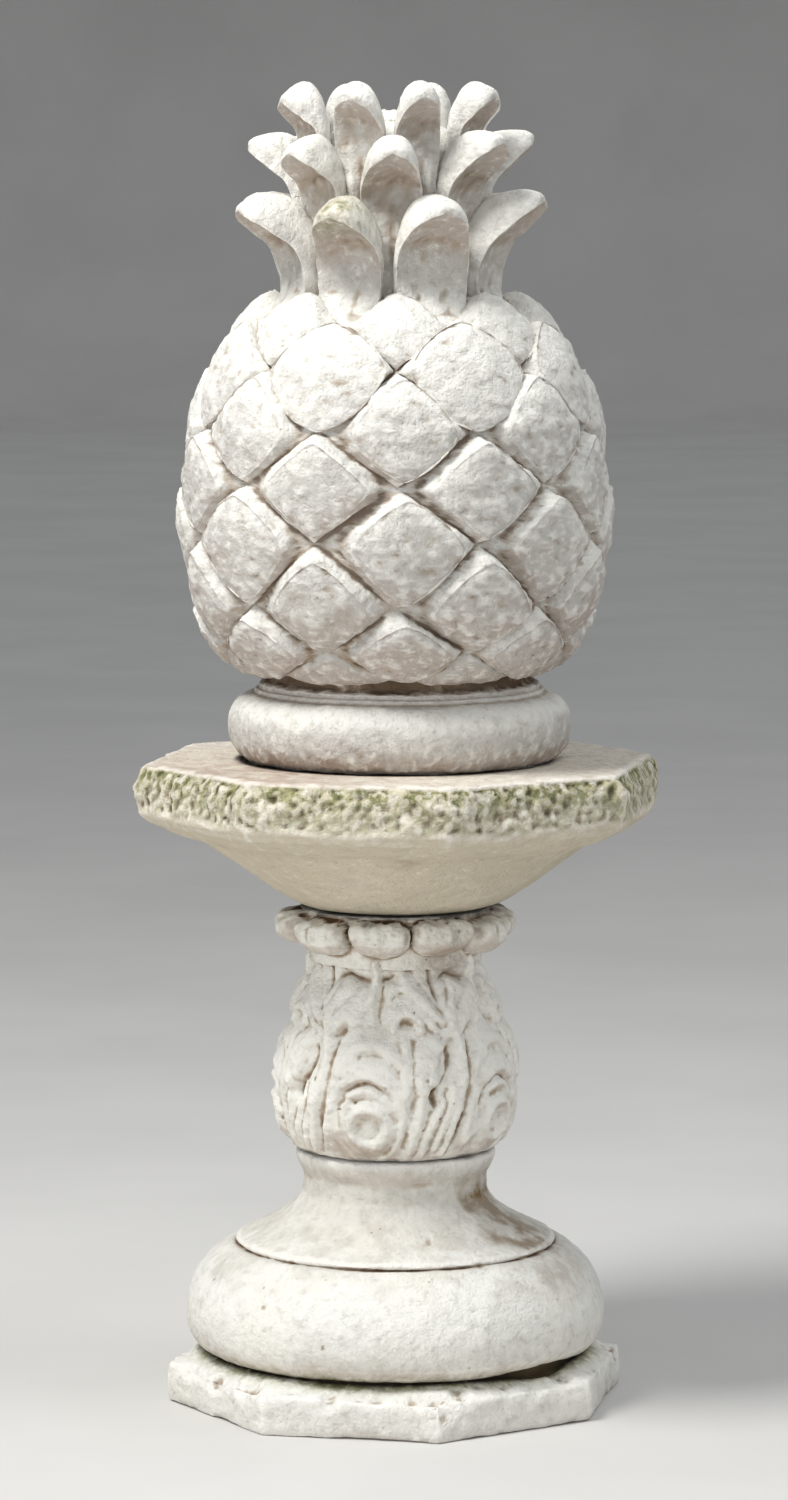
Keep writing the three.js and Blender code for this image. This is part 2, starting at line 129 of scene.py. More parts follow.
# Each leaf's droop, its turn from the regular spacing and its extra reach, from the front rightwards
CROWN_TIERS = [
    dict(turn=0.5, foot=-8, tip=79, stem=77, reach=42, width=53, hollow=3.4, flared=True,
         droops=[2, -6, 2, 0, 3, -2, 1, 5],
         turns=[0, 0, 3, 0, -2, 0, 0, 0], reaches=[0, 4, 0, 2, 0, 0, 4, 0]),
    dict(turn=0.0, foot=42, tip=124, stem=69, reach=38, width=44, hollow=2.8, flared=False,
         droops=[5, -3, -5, 2, 4, 0, 0, 5],
         turns=[0, 2, 0, 0, 3, 0, 0, -1], reaches=[3, 5, 0, 0, 0, 2, 0, -2]),
    dict(turn=0.5, foot=88, tip=162, stem=63, reach=22, width=40, hollow=2.4, flared=False,
         droops=[2, 2, 5, 3, 6, 2, 6, 4],
         turns=[-5, -6, 0, 0, 3, 0, 0, 2], reaches=[2, 4, 0, 2, 0, 0, 2, 0]),
]


# Numbers

def blend(start, end, share):
    return start + (end - start) * share


def smooth(start, end, value):
    share = np.clip((value - start) / (end - start), 0.0, 1.0)
    return share * share * (3 - 2 * share)


def hump(distance, width):
    return np.exp(-((distance / width) ** 2))


def place(radius, azimuth, height):
    """Points on circles about the axis, as an array of x, y, z."""
    turn = np.radians(azimuth)
    radius, turn, height = np.broadcast_arrays(radius, turn, height)
    return np.stack([radius * np.sin(turn), -radius * np.cos(turn), height], axis=-1)


def azimuth_of(points):
    return np.degrees(np.arctan2(points[..., 0], -points[..., 1]))


def radius_of(points):
    return np.hypot(points[..., 0], points[..., 1])


def turn_between(azimuth, other):
    """Signed turn from one azimuth to another, from -180 to 180."""
    return (azimuth - other + 180.0) % WHOLE_TURN - 180.0


def curve(points, shares):
    """A smooth uniform curve through a few points, at shares of its length from 0 to 1."""
    points = np.asarray(points, float)
    last = len(points) - 1
    along = np.clip(np.asarray(shares, float), 0, 1) * last
    index = np.minimum(np.floor(along).astype(int), last - 1)
    t = (along - index)[..., None]
    before = points[np.maximum(index - 1, 0)]
    start, end = points[index], points[index + 1]
    after = points[np.minimum(index + 2, last)]
    leave, arrive = (end - before) / 2, (after - start) / 2
    return ((2 * start - 2 * end + leave + arrive) * t ** 3
            + (3 * end - 3 * start - 2 * leave - arrive) * t ** 2 + leave * t + start)


# Repeatable noise in space

HASH_MASK = 0xFFFFFFFF


def lattice(cells, seed):
    """A number from 0 to 1 for each whole-numbered cell."""
    mixed = (cells[..., 0] * 374761393 + cells[..., 1] * 668265263
             + cells[..., 2] * 1440662683 + seed * 362437) & HASH_MASK
    mixed = ((mixed ^ (mixed >> 13)) * 1274126177) & HASH_MASK
    mixed = ((mixed ^ (mixed >> 15)) * 1103515245) & HASH_MASK
    return (mixed ^ (mixed >> 16)) / HASH_MASK


def noise(points, size, seed):
    """Smooth noise from -1 to 1 with spots of one size."""
    spots = points / size
    corner = np.floor(spots).astype(np.int64)
    share = spots - corner
    share = share ** 3 * (share * (share * 6 - 15) + 10)
    total = np.zeros(points.shape[:-1])
    for offset in np.ndindex(2, 2, 2):
        weight = np.prod(np.where(offset, share, 1 - share), axis=-1)
        total += weight * lattice(corner + np.array(offset), seed)
    return total * 2 - 1


OCTAVE_FADE, NOISE_GAIN = 0.55, 1.6
OCTAVE_TURN = np.array([[0.36, 0.48, -0.8], [-0.8, 0.6, 0.0], [0.48, 0.64, 0.6]])


def rough(points, size, seed, octaves=3):
    """Noise of halving sizes, from about -1 to 1."""
    total, weight, weights = 0.0, 1.0, 0.0
    for octave in range(octaves):
        points = points @ OCTAVE_TURN
        total = total + weight * noise(points, size / 2 ** octave, seed + octave * 17)
        weights += weight
        weight *= OCTAVE_FADE
    return total / weights * NOISE_GAIN


def layered(points, *layers):
    """The sum of some noises, each given by its amount, size and seed, and its octaves if not 3."""
    return sum(amount * rough(points, *layer) for amount, *layer in layers)


def soft_spots(azimuth, height, places):
    """The strongest of some soft spots: strength, azimuth, breadth, height and half height of each."""
    return np.max([strength * hump(turn_between(azimuth, middle), breadth) * hump(height - rise, half)
                   for strength, middle, breadth, rise, half in places], axis=0)


def pits(points, spacing, largest, seed):
    """Round pits scattered in space: 1 at a pit's middle, 0 outside every pit."""
    spots = points / spacing
    cell = np.floor(spots).astype(np.int64)
    deepest = np.zeros(points.shape[:-1])
    for offset in np.ndindex(3, 3, 3):
        near = cell + np.array(offset) - 1
        middle = near + np.stack([lattice(near, seed + axis) for axis in (1, 2, 3)], axis=-1)
        radius = largest / spacing * (0.35 + 0.65 * lattice(near, seed + 4))
        distance = np.linalg.norm(spots - middle, axis=-1)
        deepest = np.maximum(deepest, 1 - (distance / radius) ** 2)
    return np.clip(deepest, 0, 1)


# Meshes

class Shell:
    """A closed body of grids of rings, with its corners in millimetres."""

    def __init__(self):
        self.points = []
        self.faces = []
        self.count = 0

    def add_points(self, points):
        start = self.count
        points = np.asarray(points, float).reshape(-1, 3)
        self.points.append(points)
        self.count += len(points)
        return start + np.arange(len(points))

    def add_ring_grid(self, grid, first_middle, last_middle):
        """Rings from the bottom up or the inside out, closed at both ends about their middles."""
        rows, columns = grid.shape[:2]
        index = self.add_points(grid).reshape(rows, columns)
        after = np.roll(index, -1, axis=1)
        quads = np.stack([index[:-1], after[:-1], after[1:], index[1:]], axis=-1)
        self.faces += quads.reshape(-1, 4).tolist()
        first, last = self.add_points([first_middle, last_middle])
        self.faces += [[b, a, first] for a, b in zip(index[0].tolist(), after[0].tolist())]
        self.faces += [[a, b, last] for a, b in zip(index[-1].tolist(), after[-1].tolist())]
        return self

    def mesh(self, name):
        mesh = bpy.data.meshes.new(name)
        mesh.from_pydata((np.concatenate(self.points) * MM).tolist(), [], self.faces)
        mesh.validate()
        return mesh


def new_object(name, mesh):
    piece = bpy.data.objects.new(name, mesh)
    bpy.context.scene.collection.objects.link(piece)
    return piece


def joined(name, shells):
    """One closed mesh made of several overlapping closed bodies."""
    whole = new_object(name, shells[0].mesh(name))
    others = bpy.data.collections.new(name + "_parts")
    for i, shell in enumerate(shells[1:]):
        others.objects.link(bpy.data.objects.new(f"{name}_part_{i}", shell.mesh(f"{name}_part_{i}")))
    bpy.context.scene.collection.children.link(others)
    union = whole.modifiers.new("union", "BOOLEAN")
    union.operation = "UNION"
    union.solver = "MANIFOLD"
    union.operand_type = "COLLECTION"
    union.collection = others
    graph = bpy.context.evaluated_depsgraph_get()
    mesh = bpy.data.meshes.new_from_object(whole.evaluated_get(graph))
    mesh.name = name
    for part in [whole, *others.objects]:
        spare = part.data
        bpy.data.objects.remove(part)
        bpy.data.meshes.remove(spare)
    bpy.data.collections.remove(others)
    return mesh


def read(items, name, width, kind=float):
    """A value of each of a mesh's items, as rows of an array."""
    values = np.empty(len(items) * width, dtype=kind)
    items.foreach_get(name, values)
    return values.reshape(-1, width)


def write_points(mesh, points):
    mesh.vertices.foreach_set("co", (points * MM).ravel())
    mesh.update()


def relaxed(points, edges, steps, amount=0.5):
    """Corners moved step by step towards their neighbours' middle."""
    count = len(points)
    first, second = edges[:, 0], edges[:, 1]
    neighbours = np.bincount(edges.ravel(), minlength=count)[:, None]
    for _ in range(steps):
        total = np.stack([
            np.bincount(first, points[second, axis], count)
            + np.bincount(second, points[first, axis], count)
            for axis in range(3)], axis=-1)
        points = points + (total / neighbours - points) * amount
    return points


def set_fact(mesh, name, values):
    """Stores one number per corner for the materials."""
    fact = mesh.attributes.new(name, "FLOAT", "POINT")
    fact.data.foreach_set("value", np.broadcast_to(values, len(mesh.vertices)).astype(np.float32))


SHARP_ANGLE = math.radians(50)
# Relaxing steps that find a corner's height above its close and its wider surroundings
EDGE_STEPS, STAND_STEPS = 3, 30


def dressed(name, mesh, material, weather, marks, wear):
    edges = read(mesh.edges, "vertices", 2, np.int32)
    points = read(mesh.vertices, "co", 3) / MM
    share = np.clip(wear * (0.5 + rough(points, 26.0, 91)), 0, 1)[:, None]
    points = blend(points, relaxed(points, edges, EDGE_STEPS), share)
    write_points(mesh, points)
    points = points + read(mesh.vertex_normals, "vector", 3) * weather(points)[:, None]
    write_points(mesh, points)
    normals = read(mesh.vertex_normals, "vector", 3)
    for fact, steps in (("edge", EDGE_STEPS), ("stand", STAND_STEPS)):
        away = points - relaxed(points, edges, steps)
        set_fact(mesh, fact, np.sum(away * normals, axis=1))
    for fact, values in marks(points).items():
        set_fact(mesh, fact, values)
    mesh.shade_smooth()
    mesh.set_sharp_from_angle(angle=SHARP_ANGLE)
    mesh.materials.clear()
    mesh.materials.append(material)
    piece = new_object(name, mesh)
    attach(piece, "root")
    return piece


# Octagons

OCTAGON_SIDE = 45.0


def octagon_share(from_corner):
    """How far an octagon lies inside the circle through its corners."""
    half = OCTAGON_SIDE / 2
    from_side = turn_between(from_corner, half)
    from_side = from_side - np.round(from_side / OCTAGON_SIDE) * OCTAGON_SIDE
    return math.cos(math.radians(half)) / np.cos(np.radians(from_side))


def octagon_rings(rows, columns):
    """A grid of rings from [radius, height, share of corners] rows."""
    rows = np.asarray(rows, float)
    from_corner = np.arange(columns) * WHOLE_TURN / columns
    radius, height, corners = (rows[:, i, None] for i in range(3))
    radius = radius * blend(1.0, octagon_share(from_corner), corners)
    return place(radius, from_corner + CORNER_AZIMUTH, height)


def path(*stretches):
    """Rows from several stretches of [radius, height, corners]."""
    return np.concatenate([np.atleast_2d(np.asarray(stretch, float)) for stretch in stretches])


def stepped(radius, height, rise, steps):
    """Round rows, each given as millimetres outwards and as a share of a rise upwards."""
    return [(radius + out, height + up * rise, 0) for out, up in steps]


def straight(start, end, steps):
    """Rows on a straight line, without its start."""
    shares = np.linspace(0, 1, steps + 1)[1:, None]
    return blend(np.asarray(start, float), np.asarray(end, float), shares)


def ring_arc(middle, reach, rise, start, end, steps, corners):
    """Rows on an elliptic arc; 0 degrees is outwards and 90 up."""
    angle = np.radians(np.linspace(start, end, steps + 1))
    return np.stack([middle[0] + reach * np.cos(angle), middle[1] + rise * np.sin(angle),
                     np.full(steps + 1, corners)], axis=-1)


# Base

BASE_COLUMNS = 368
PLINTH_EDGE = 2.5
TORUS_FOOT = 16.0
JOINT_RADIUS, JOINT_HEIGHT = 143.5, 38.5
TORUS_ROWS, SKIRT_ROWS = 44, 22
BAND_OUT = BAND_RADIUS - STEM_RADIUS
# Rows of the joint, the lip and the band: millimetres outwards, and millimetres or a share of its height up
JOINT_STEPS = [(0.0, -0.6), (0.5, 0.6), (4.5, 2.0), (8.0, 4.5), (11.0, 7.5)]
LIP_STEPS = [(-LIP_UNDERCUT, 0.05), (-LIP_UNDERCUT * 0.8, 0.2), (-0.8, 0.28), (0, 0.55), (-0.2, 0.9)]
BAND_STEPS = [
    (0, 0), (0.6, 0.12), (2.4, 0.26), (3.8, 0.4), (4.8, 0.55),
    (BAND_OUT - 0.3, 0.68), (BAND_OUT, 0.8), (BAND_OUT - 0.3, 0.91),
]


def base_mesh():
    torus_head = math.degrees(math.asin((TORUS_HEIGHT - TORUS_MIDDLE) / TORUS_RISE))
    lip_floor = PLINTH_HEIGHT + TORUS_HEIGHT
    skirt_floor = lip_floor + LIP_HEIGHT
    band_floor = skirt_floor + SKIRT_HEIGHT + STEM_HEIGHT
    edge, inside = PLINTH_EDGE, PLINTH_RADIUS - PLINTH_EDGE * 1.2
    torus_middle = (TORUS_RADIUS - TORUS_REACH, PLINTH_HEIGHT + TORUS_MIDDLE)
    torus = ring_arc(torus_middle, TORUS_REACH, TORUS_RISE, -TORUS_FOOT, torus_head, TORUS_ROWS, 0)
    rise = np.linspace(0, 1, SKIRT_ROWS)
    skirt = np.stack([blend(STEM_RADIUS, LIP_RADIUS, (1 - rise) ** SKIRT_SWEEP),
                      skirt_floor + SKIRT_HEIGHT * rise, rise * 0], axis=-1)
    rows = path(
        (PLINTH_RADIUS * 0.75, 0, 1),
        (PLINTH_RADIUS * 0.92, 0, 1),
        (inside, 0, 1),
        (PLINTH_RADIUS - edge * 0.3, edge * 0.3, 1),
        straight((PLINTH_RADIUS, edge, 1), (PLINTH_RADIUS, PLINTH_HEIGHT - edge, 1), 9),
        (PLINTH_RADIUS - edge * 0.3, PLINTH_HEIGHT - edge * 0.3, 1),
        (inside, PLINTH_HEIGHT, 1),
        straight((inside, PLINTH_HEIGHT, 1), (JOINT_RADIUS + 1.5, JOINT_HEIGHT, 0.1), 12),
        stepped(JOINT_RADIUS, JOINT_HEIGHT, 1.0, JOINT_STEPS),
        torus,
        stepped(LIP_RADIUS, lip_floor, LIP_HEIGHT, LIP_STEPS),
        skirt[1:],
        straight((STEM_RADIUS, band_floor - STEM_HEIGHT, 0), (STEM_RADIUS, band_floor - 1.5, 0), 4),
        stepped(STEM_RADIUS, band_floor, BASE_TOP - band_floor, BAND_STEPS),
        (BAND_RADIUS - 1.6, BASE_TOP - 0.5, 0),
        (BAND_RADIUS - 4, BASE_TOP, 0),
        (BAND_RADIUS * 0.7, BASE_TOP, 0),
    )
    shell = Shell().add_ring_grid(octagon_rings(rows, BASE_COLUMNS), (0, 0, 0), (0, 0, BASE_TOP))
    return shell.mesh("base_casting")


# Chips knocked off the plinth, as azimuth, share of the plinth's radius, height, size and depth
PLINTH_CHIPS = [
    (-57.0, 0.99, 26.0, 9.0, 4.5),
    (11.5, 0.985, 27.0, 15.0, 5.0),
    (17.0, 0.93, 30.0, 9.0, 3.0),
    (23.0, 0.9, 30.0, 8.0, 3.5),
    (31.0, 0.93, 30.0, 7.0, 2.5),
    (52.0, 0.9, 30.0, 12.0, 4.0),
    (-18.0, 0.99, 29.0, 10.0, 3.0),
    (-42.0, 0.985, 28.0, 12.0, 2.5),
    (97.0, 0.98, 27.0, 14.0, 4.0),
    (148.0, 0.99, 28.0, 12.0, 3.5),
    (-128.0, 0.985, 27.0, 11.0, 4.0),
    (-96.0, 0.97, 5.0, 10.0, 3.0),
]
# Brown spots on the base, as strength, azimuth, breadth in degrees, height and half their height
BASE_SPOTS = [
    (0.5, 58.0, 26.0, 106.0, 14.0),
    (0.4, -70.0, 18.0, 112.0, 16.0),
    (0.35, -10.0, 14.0, 145.0, 9.0),
]


def base_weather(points):
    azimuth, height = azimuth_of(points), points[:, 2]
    on_plinth = 1 - smooth(PLINTH_HEIGHT - 1, PLINTH_HEIGHT + 1.5, height)
    change = layered(points, (0.7, 46.0, 11), (0.35, 9.0, 12))
    change += on_plinth * layered(points, (0.9, 22.0, 13), (0.35, 6.0, 14))
    change -= 1.6 * pits(points, 24.0, 4.5, 15) * smooth(0.1, 0.5, rough(points, 60.0, 16))
    for chip_azimuth, share, chip_height, size, depth in PLINTH_CHIPS:
        radius = PLINTH_RADIUS * share * octagon_share(chip_azimuth - CORNER_AZIMUTH)
        distance = np.linalg.norm(points - place(radius, chip_azimuth, chip_height), axis=1)
        change -= depth * np.clip(1 - (distance / size) ** 2, 0, 1) * (1 + 0.3 * rough(points, 5.0, 17))
    lip = hump(height - (PLINTH_HEIGHT + TORUS_HEIGHT + LIP_HEIGHT * 0.5), 3.0)
    change -= lip * np.clip(rough(points, 17.0, 18) - 0.25, 0, 1) * 2.2
    radius = radius_of(points)
    from_joint = np.hypot(radius - JOINT_RADIUS, height - JOINT_HEIGHT)
    change -= 7.0 * hump(turn_between(azimuth, 50.0), 13.0) * hump(from_joint, 7.0)
    torn = hump(height - PLINTH_HEIGHT, 5.0) * smooth(PLINTH_RADIUS * 0.88, PLINTH_RADIUS * 0.93, radius)
    change -= torn * 4.5 * np.clip(rough(points, 34.0, 19) + 0.1, 0, 1)
    keep_flat = smooth(0.0, 1.5, height) * (1 - smooth(BASE_TOP - 1.5, BASE_TOP, height))
    return change * keep_flat


def base_marks(points):
    azimuth, height = azimuth_of(points), points[:, 2]
    radius = radius_of(points)
    # Painted shade: dark along the crease where the torus meets the plinth, and a faint line under the lip
    joint = 1 - smooth(1.0, 6.5, np.hypot(radius - JOINT_RADIUS, height - JOINT_HEIGHT))
    joint = np.maximum(joint, 0.15 * hump(height - (PLINTH_HEIGHT + TORUS_HEIGHT + 0.3), 0.9))
    # Ochre stain and painted shade on the skirt's right side
    beside = smooth(40.0, 54.0, azimuth + 9.0 * rough(points, 26.0, 20))
    stain_and_shade = beside * (1 - smooth(70.0, 115.0, azimuth))
    stain_and_shade = stain_and_shade * smooth(112, 124, height) * (1 - smooth(158, 185, height))
    stain_and_shade = np.maximum(stain_and_shade, soft_spots(azimuth, height, BASE_SPOTS))
    stain_and_shade = np.maximum(stain_and_shade, 0.35 * smooth(150.0, 128.0, np.abs(azimuth)) * hump(height - 140.0, 30.0))
    seam = hump(np.hypot(radius - JOINT_RADIUS - 3.0, height - JOINT_HEIGHT + 1.0), 9.0)
    mossy = [hump(turn_between(azimuth, -18.0), 30.0), hump(turn_between(azimuth, 48.0), 16.0)]
    moss = seam * np.maximum(0.85, np.max(mossy, axis=0))
    # Darker towards the bottom
    darker_low = 0.24 * (1 - smooth(0.0, 9.0, height))
    return {"soot_and_shade": np.maximum(joint, darker_low), "stain_and_shade": stain_and_shade, "moss": moss}


# Slab

SLAB_COLUMNS, DISH_ROWS, RIM_ROWS = 400, 44, 24
# The dish's outline, in shares of its reach outwards and of its height
DISH_LINE = np.array([(0, 0), (0.12, 0.06), (0.28, 0.24), (0.66, 0.73), (0.84, 0.85), (1, 1)])


def slab_mesh():
    rim_middle = SLAB_FLOOR + SLAB_DISH_HEIGHT + SLAB_RIM_HEIGHT / 2
    dish_size = (SLAB_DISH_RADIUS - SLAB_SEAT_RADIUS, SLAB_DISH_HEIGHT)
    dish = curve(DISH_LINE * dish_size + (SLAB_SEAT_RADIUS, SLAB_FLOOR), np.linspace(0, 1, DISH_ROWS))
    dish_corners = SLAB_WORN_CORNERS * smooth(SLAB_SEAT_RADIUS * 1.5, SLAB_DISH_RADIUS, dish[:, 0])
    rim = ring_arc((SLAB_TOP_RADIUS, rim_middle), SLAB_RIM_RADIUS - SLAB_TOP_RADIUS, SLAB_RIM_HEIGHT / 2,
                   -62, 74, RIM_ROWS, 1)
    rim_rise = smooth(rim_middle - SLAB_RIM_HEIGHT / 2, rim_middle, rim[:, 1])
    rim[:, 2] = blend(SLAB_WORN_CORNERS, 1.0, rim_rise)
    rows = path(
        (SLAB_SEAT_RADIUS * 0.6, SLAB_FLOOR, 0),
        np.column_stack([dish, dish_corners])[:-1],
        rim,
        (SLAB_TOP_RADIUS - 1.0, SLAB_TOP, 1),
        straight((SLAB_TOP_RADIUS - 1.0, SLAB_TOP, 1), (FOOT_SEAT_RADIUS, SLAB_TOP, 0.2), 20),
        (FOOT_SEAT_RADIUS * 0.6, SLAB_TOP, 0),
    )
    grid = octagon_rings(rows, SLAB_COLUMNS)
    grid[..., 0] += SLAB_SHIFT
    shell = Shell().add_ring_grid(grid, (0, 0, SLAB_FLOOR), (0, 0, SLAB_TOP))
    return shell.mesh("slab_casting")


def rim_share(points):
    """1 on the slab's rim and 0 on its smooth underside."""
    wander = 3.0 * rough(points, 30.0, 23)
    return smooth(-3.0, 4.0, points[:, 2] + wander - (SLAB_FLOOR + SLAB_DISH_HEIGHT + 8.0))


def slab_weather(points):
    height = points[:, 2]
    rim = rim_share(points)
    on_top = smooth(SLAB_TOP - 3.0, SLAB_TOP - 1.0, height)
    side = rim * (1 - on_top)
    change = layered(points, (0.5, 40.0, 21), (0.25, 8.0, 22))
    change += side * layered(points, (1.8, 24.0, 24), (1.1, 9.0, 25, 2), (0.8, 5.0, 28, 1))
    change -= side * 1.6 * pits(points, 15.0, 5.0, 26)
    change += on_top * 0.5 * rough(points, 12.0, 27)
    radius = radius_of(points)
    rest_flat = smooth(SLAB_FLOOR, SLAB_FLOOR + 3.0, height)
    rest_flat = rest_flat * (1 - on_top * (1 - smooth(FOOT_RADIUS - 8, FOOT_RADIUS + 4, radius)))
    return (change - side) * rest_flat


def slab_marks(points):
    azimuth, height = azimuth_of(points), points[:, 2]
    radius = radius_of(points)
    rim = rim_share(points)
    on_top = smooth(SLAB_TOP - 4.0, SLAB_TOP - 1.0, height)
    moss = rim * (1 - on_top) * (0.55 + 0.45 * smooth(SLAB_TOP - 30.0, SLAB_TOP - 4.0, height))
    pink = on_top * (0.2 + 0.55 * hump(turn_between(azimuth, -45.0), 45.0))
    # Dirt and painted shadow: dark in a ring under the pineapple's foot, and along the slab's lowest edge
    soot_and_shade = on_top * (1 - smooth(FOOT_SEAT_RADIUS + 1.0, FOOT_SEAT_RADIUS + 6.0, radius))
    soot_and_shade = np.maximum(soot_and_shade, 1 - smooth(SLAB_FLOOR, SLAB_FLOOR + 4.0, height))
    return {"moss": moss, "stain_and_shade": np.maximum(pink, 0.12 * (1 - rim)), "soot_and_shade": soot_and_shade, "dish": 1 - rim}


# Baluster

BULB_COLUMNS = 380
BULB_GIRTH = 2 * math.pi * BULB_RADIUS
NECK_TOP = BULB_HEIGHT + NECK_HEIGHT
COLLAR_START = NECK_TOP - 4.0
BULB_ROWS, COLLAR_ROWS = 132, 56
# Brown spots on the baluster, as strength, azimuth, breadth in degrees, height and half their height
BALUSTER_SPOTS = [
    (0.55, 32.0, 20.0, 150.0, 26.0),
    (0.5, -18.0, 16.0, 8.0, 9.0),
    (0.35, -10.0, 12.0, 98.0, 6.0),
]


def bulb_line(height):
    under = np.clip(1 - height / BULB_MIDDLE, 0, 1)
    foot = blend(BULB_FOOT_RADIUS, BULB_RADIUS, np.sqrt(1 - under ** 2))
    share = np.clip((height - BULB_MIDDLE) / (BULB_HEIGHT - BULB_MIDDLE), 0, 1)
    return np.where(height < BULB_MIDDLE, foot, blend(BULB_RADIUS, NECK_RADIUS, share ** BULB_DRAW))


def stroke_distance(across, height, points, steps=14):
    """Distance to a smooth line through a few points of the unrolled bulb, and the share along it."""
    line = curve(points, np.linspace(0, 1, steps))
    nearest = np.full(across.shape, 1e9)
    along = np.zeros(across.shape)
    for i in range(steps - 1):
        start, step = line[i], line[i + 1] - line[i]
        share = ((across - start[0]) * step[0] + (height - start[1]) * step[1]) / max(step @ step, 1e-9)
        share = np.clip(share, 0, 1)
        distance = np.hypot(across - start[0] - share * step[0], height - start[1] - share * step[1])
        closer = distance < nearest
        nearest = np.where(closer, distance, nearest)
        along = np.where(closer, (i + share) / (steps - 1), along)
    return nearest, along


def swelling(along):
    """Full in the middle of a stroke and narrower at its ends."""
    return 0.35 + 0.65 * np.sqrt(np.clip(np.sin(np.pi * np.clip(along, 0.02, 0.98)), 0, 1))


# Carving of one bulb leaf and what lies beside it on its right, on the unrolled bulb.
# Each stroke has its proud height, its half width and its points as [across, height].
RIDGES = [
    (3.2, 6.0, [(-31, 14), (-33, 45), (-30, 66), (-22, 76), (-11, 81)]),
    (2.6, 5.0, [(-24, 20), (-26, 46), (-20, 64), (-6, 72), (8, 73), (20, 66), (27, 52), (28, 34)]),
    (2.2, 4.0, [(-27, 78), (-14, 86), (4, 90), (20, 86), (31, 74)]),
    (2.8, 5.0, [(33, 92), (34, 72), (33, 52), (28, 34), (22, 16)]),
    (3.6, 4.5, [(-17, 60), (-8, 66), (2, 69), (12, 66), (18, 60)]),
    (3.0, 3.5, [(-14, 49), (-6, 55), (3, 57), (11, 53)]),
    (4.4, 8.0, [(-40, 106), (-41, 118), (-33, 127), (-22, 129)]),
    (4.6, 7.5, [(-31, 106), (-22, 112), (-12, 120), (-7, 129)]),
    (3.4, 6.0, [(-36, 98), (-28, 104), (-17, 108), (-8, 109)]),
    (3.8, 3.6, [(1.5, 150), (4, 140), (2, 128), (-1, 119)]),
    (4.6, 4.6, [(17, 124), (21, 131), (31, 134), (42, 129), (54, 119), (66, 106)]),
    (3.6, 3.6, [(20, 117), (28, 123), (38, 121), (50, 112), (60, 101)]),
    (3.0, 3.4, [(31, 140), (44, 136), (56, 127), (66, 115)]),
    (4.2, 4.6, [(22, 101), (24, 110), (34, 114), (43, 110), (46, 102)]),
    (3.6, 4.0, [(70, 118), (76, 106), (81, 88), (80.5, 70), (76, 52), (70, 26), (64, 6)]),
    (4.2, 6.0, [(46, 56), (42, 70), (47, 85), (58, 94)]),
    (4.4, 5.5, [(54, 62), (51, 74), (56, 86), (64, 90)]),
    (3.4, 4.0, [(62, 48), (57, 34), (50, 20), (46, 6)]),
    (3.0, 3.4, [(44, 50), (43, 34), (38, 18), (34, 4)]),
    (3.2, 3.4, [(70, 58), (67, 44), (60, 26), (55, 8)]),
]
GROOVES = [
    (3.4, 2.6, [(-12, 56), (-4, 61), (4, 62), (14, 57)]),
    (2.8, 3.0, [(-22, 30), (-21, 44), (-12, 50), (0, 49)]),
    (3.2, 3.0, [(25, 40), (26, 28), (20, 12), (8, 5), (-8, 5)]),
    (3.6, 3.2, [(-34, 94), (-26, 97), (-19, 102)]),
    (7.0, 4.0, [(-27, 96), (-23, 99.5), (-19, 102)]),
    (6.5, 5.0, [(10, 130), (9, 119), (9, 108), (14, 99)]),
    (6.5, 2.4, [(-41, 137), (-30, 140), (-18, 137), (-6, 135)]),
    (7.5, 2.4, [(8, 136), (18, 137), (28, 136)]),
    (6.0, 3.6, [(17, 139), (21, 138.5), (25, 138)]),
    (4.0, 3.2, [(27, 105.5), (34, 106), (41, 105)]),
    (5.0, 2.4, [(64, 92), (69, 83), (67, 73), (62, 64), (56, 59)]),
    (8.0, 3.4, [(57, 60), (53.5, 53), (55, 46)]),
    (4.4, 2.8, [(91, 100), (88, 83), (85.5, 65), (82, 47), (75, 22), (69, 4)]),
    (3.2, 2.4, [(62, 62), (64, 46), (58, 30), (52, 8)]),
    (3.0, 2.4, [(39, 92), (38.5, 71), (38, 53), (33, 36), (30, 14)]),
    (4.2, 2.4, [(57, 158), (62, 137), (65, 118)]),
    (4.2, 2.4, [(82, 158), (80, 137), (73, 118)]),
    (5.0, 2.2, [(66, 153), (68, 152), (70, 151)]),
    (3.4, 2.6, [(36, 146), (47, 136), (60, 122), (68, 112)]),
]
RIDGE_BREADTH, RIDGE_HEIGHT = 1.45, 1.4
GROOVE_BREADTH, GROOVE_DEPTH = 0.95, 0.95
SCROLL_MIDDLE, SCROLL_RADIUS = (2.0, 27.0), 14.5
# How far the carving reaches to the left and right of its leaf, and how deep its background lies
CARVED_LEFT, CARVED_RIGHT, CARVED_DEPTH = -60.0, 110.0, 1.9


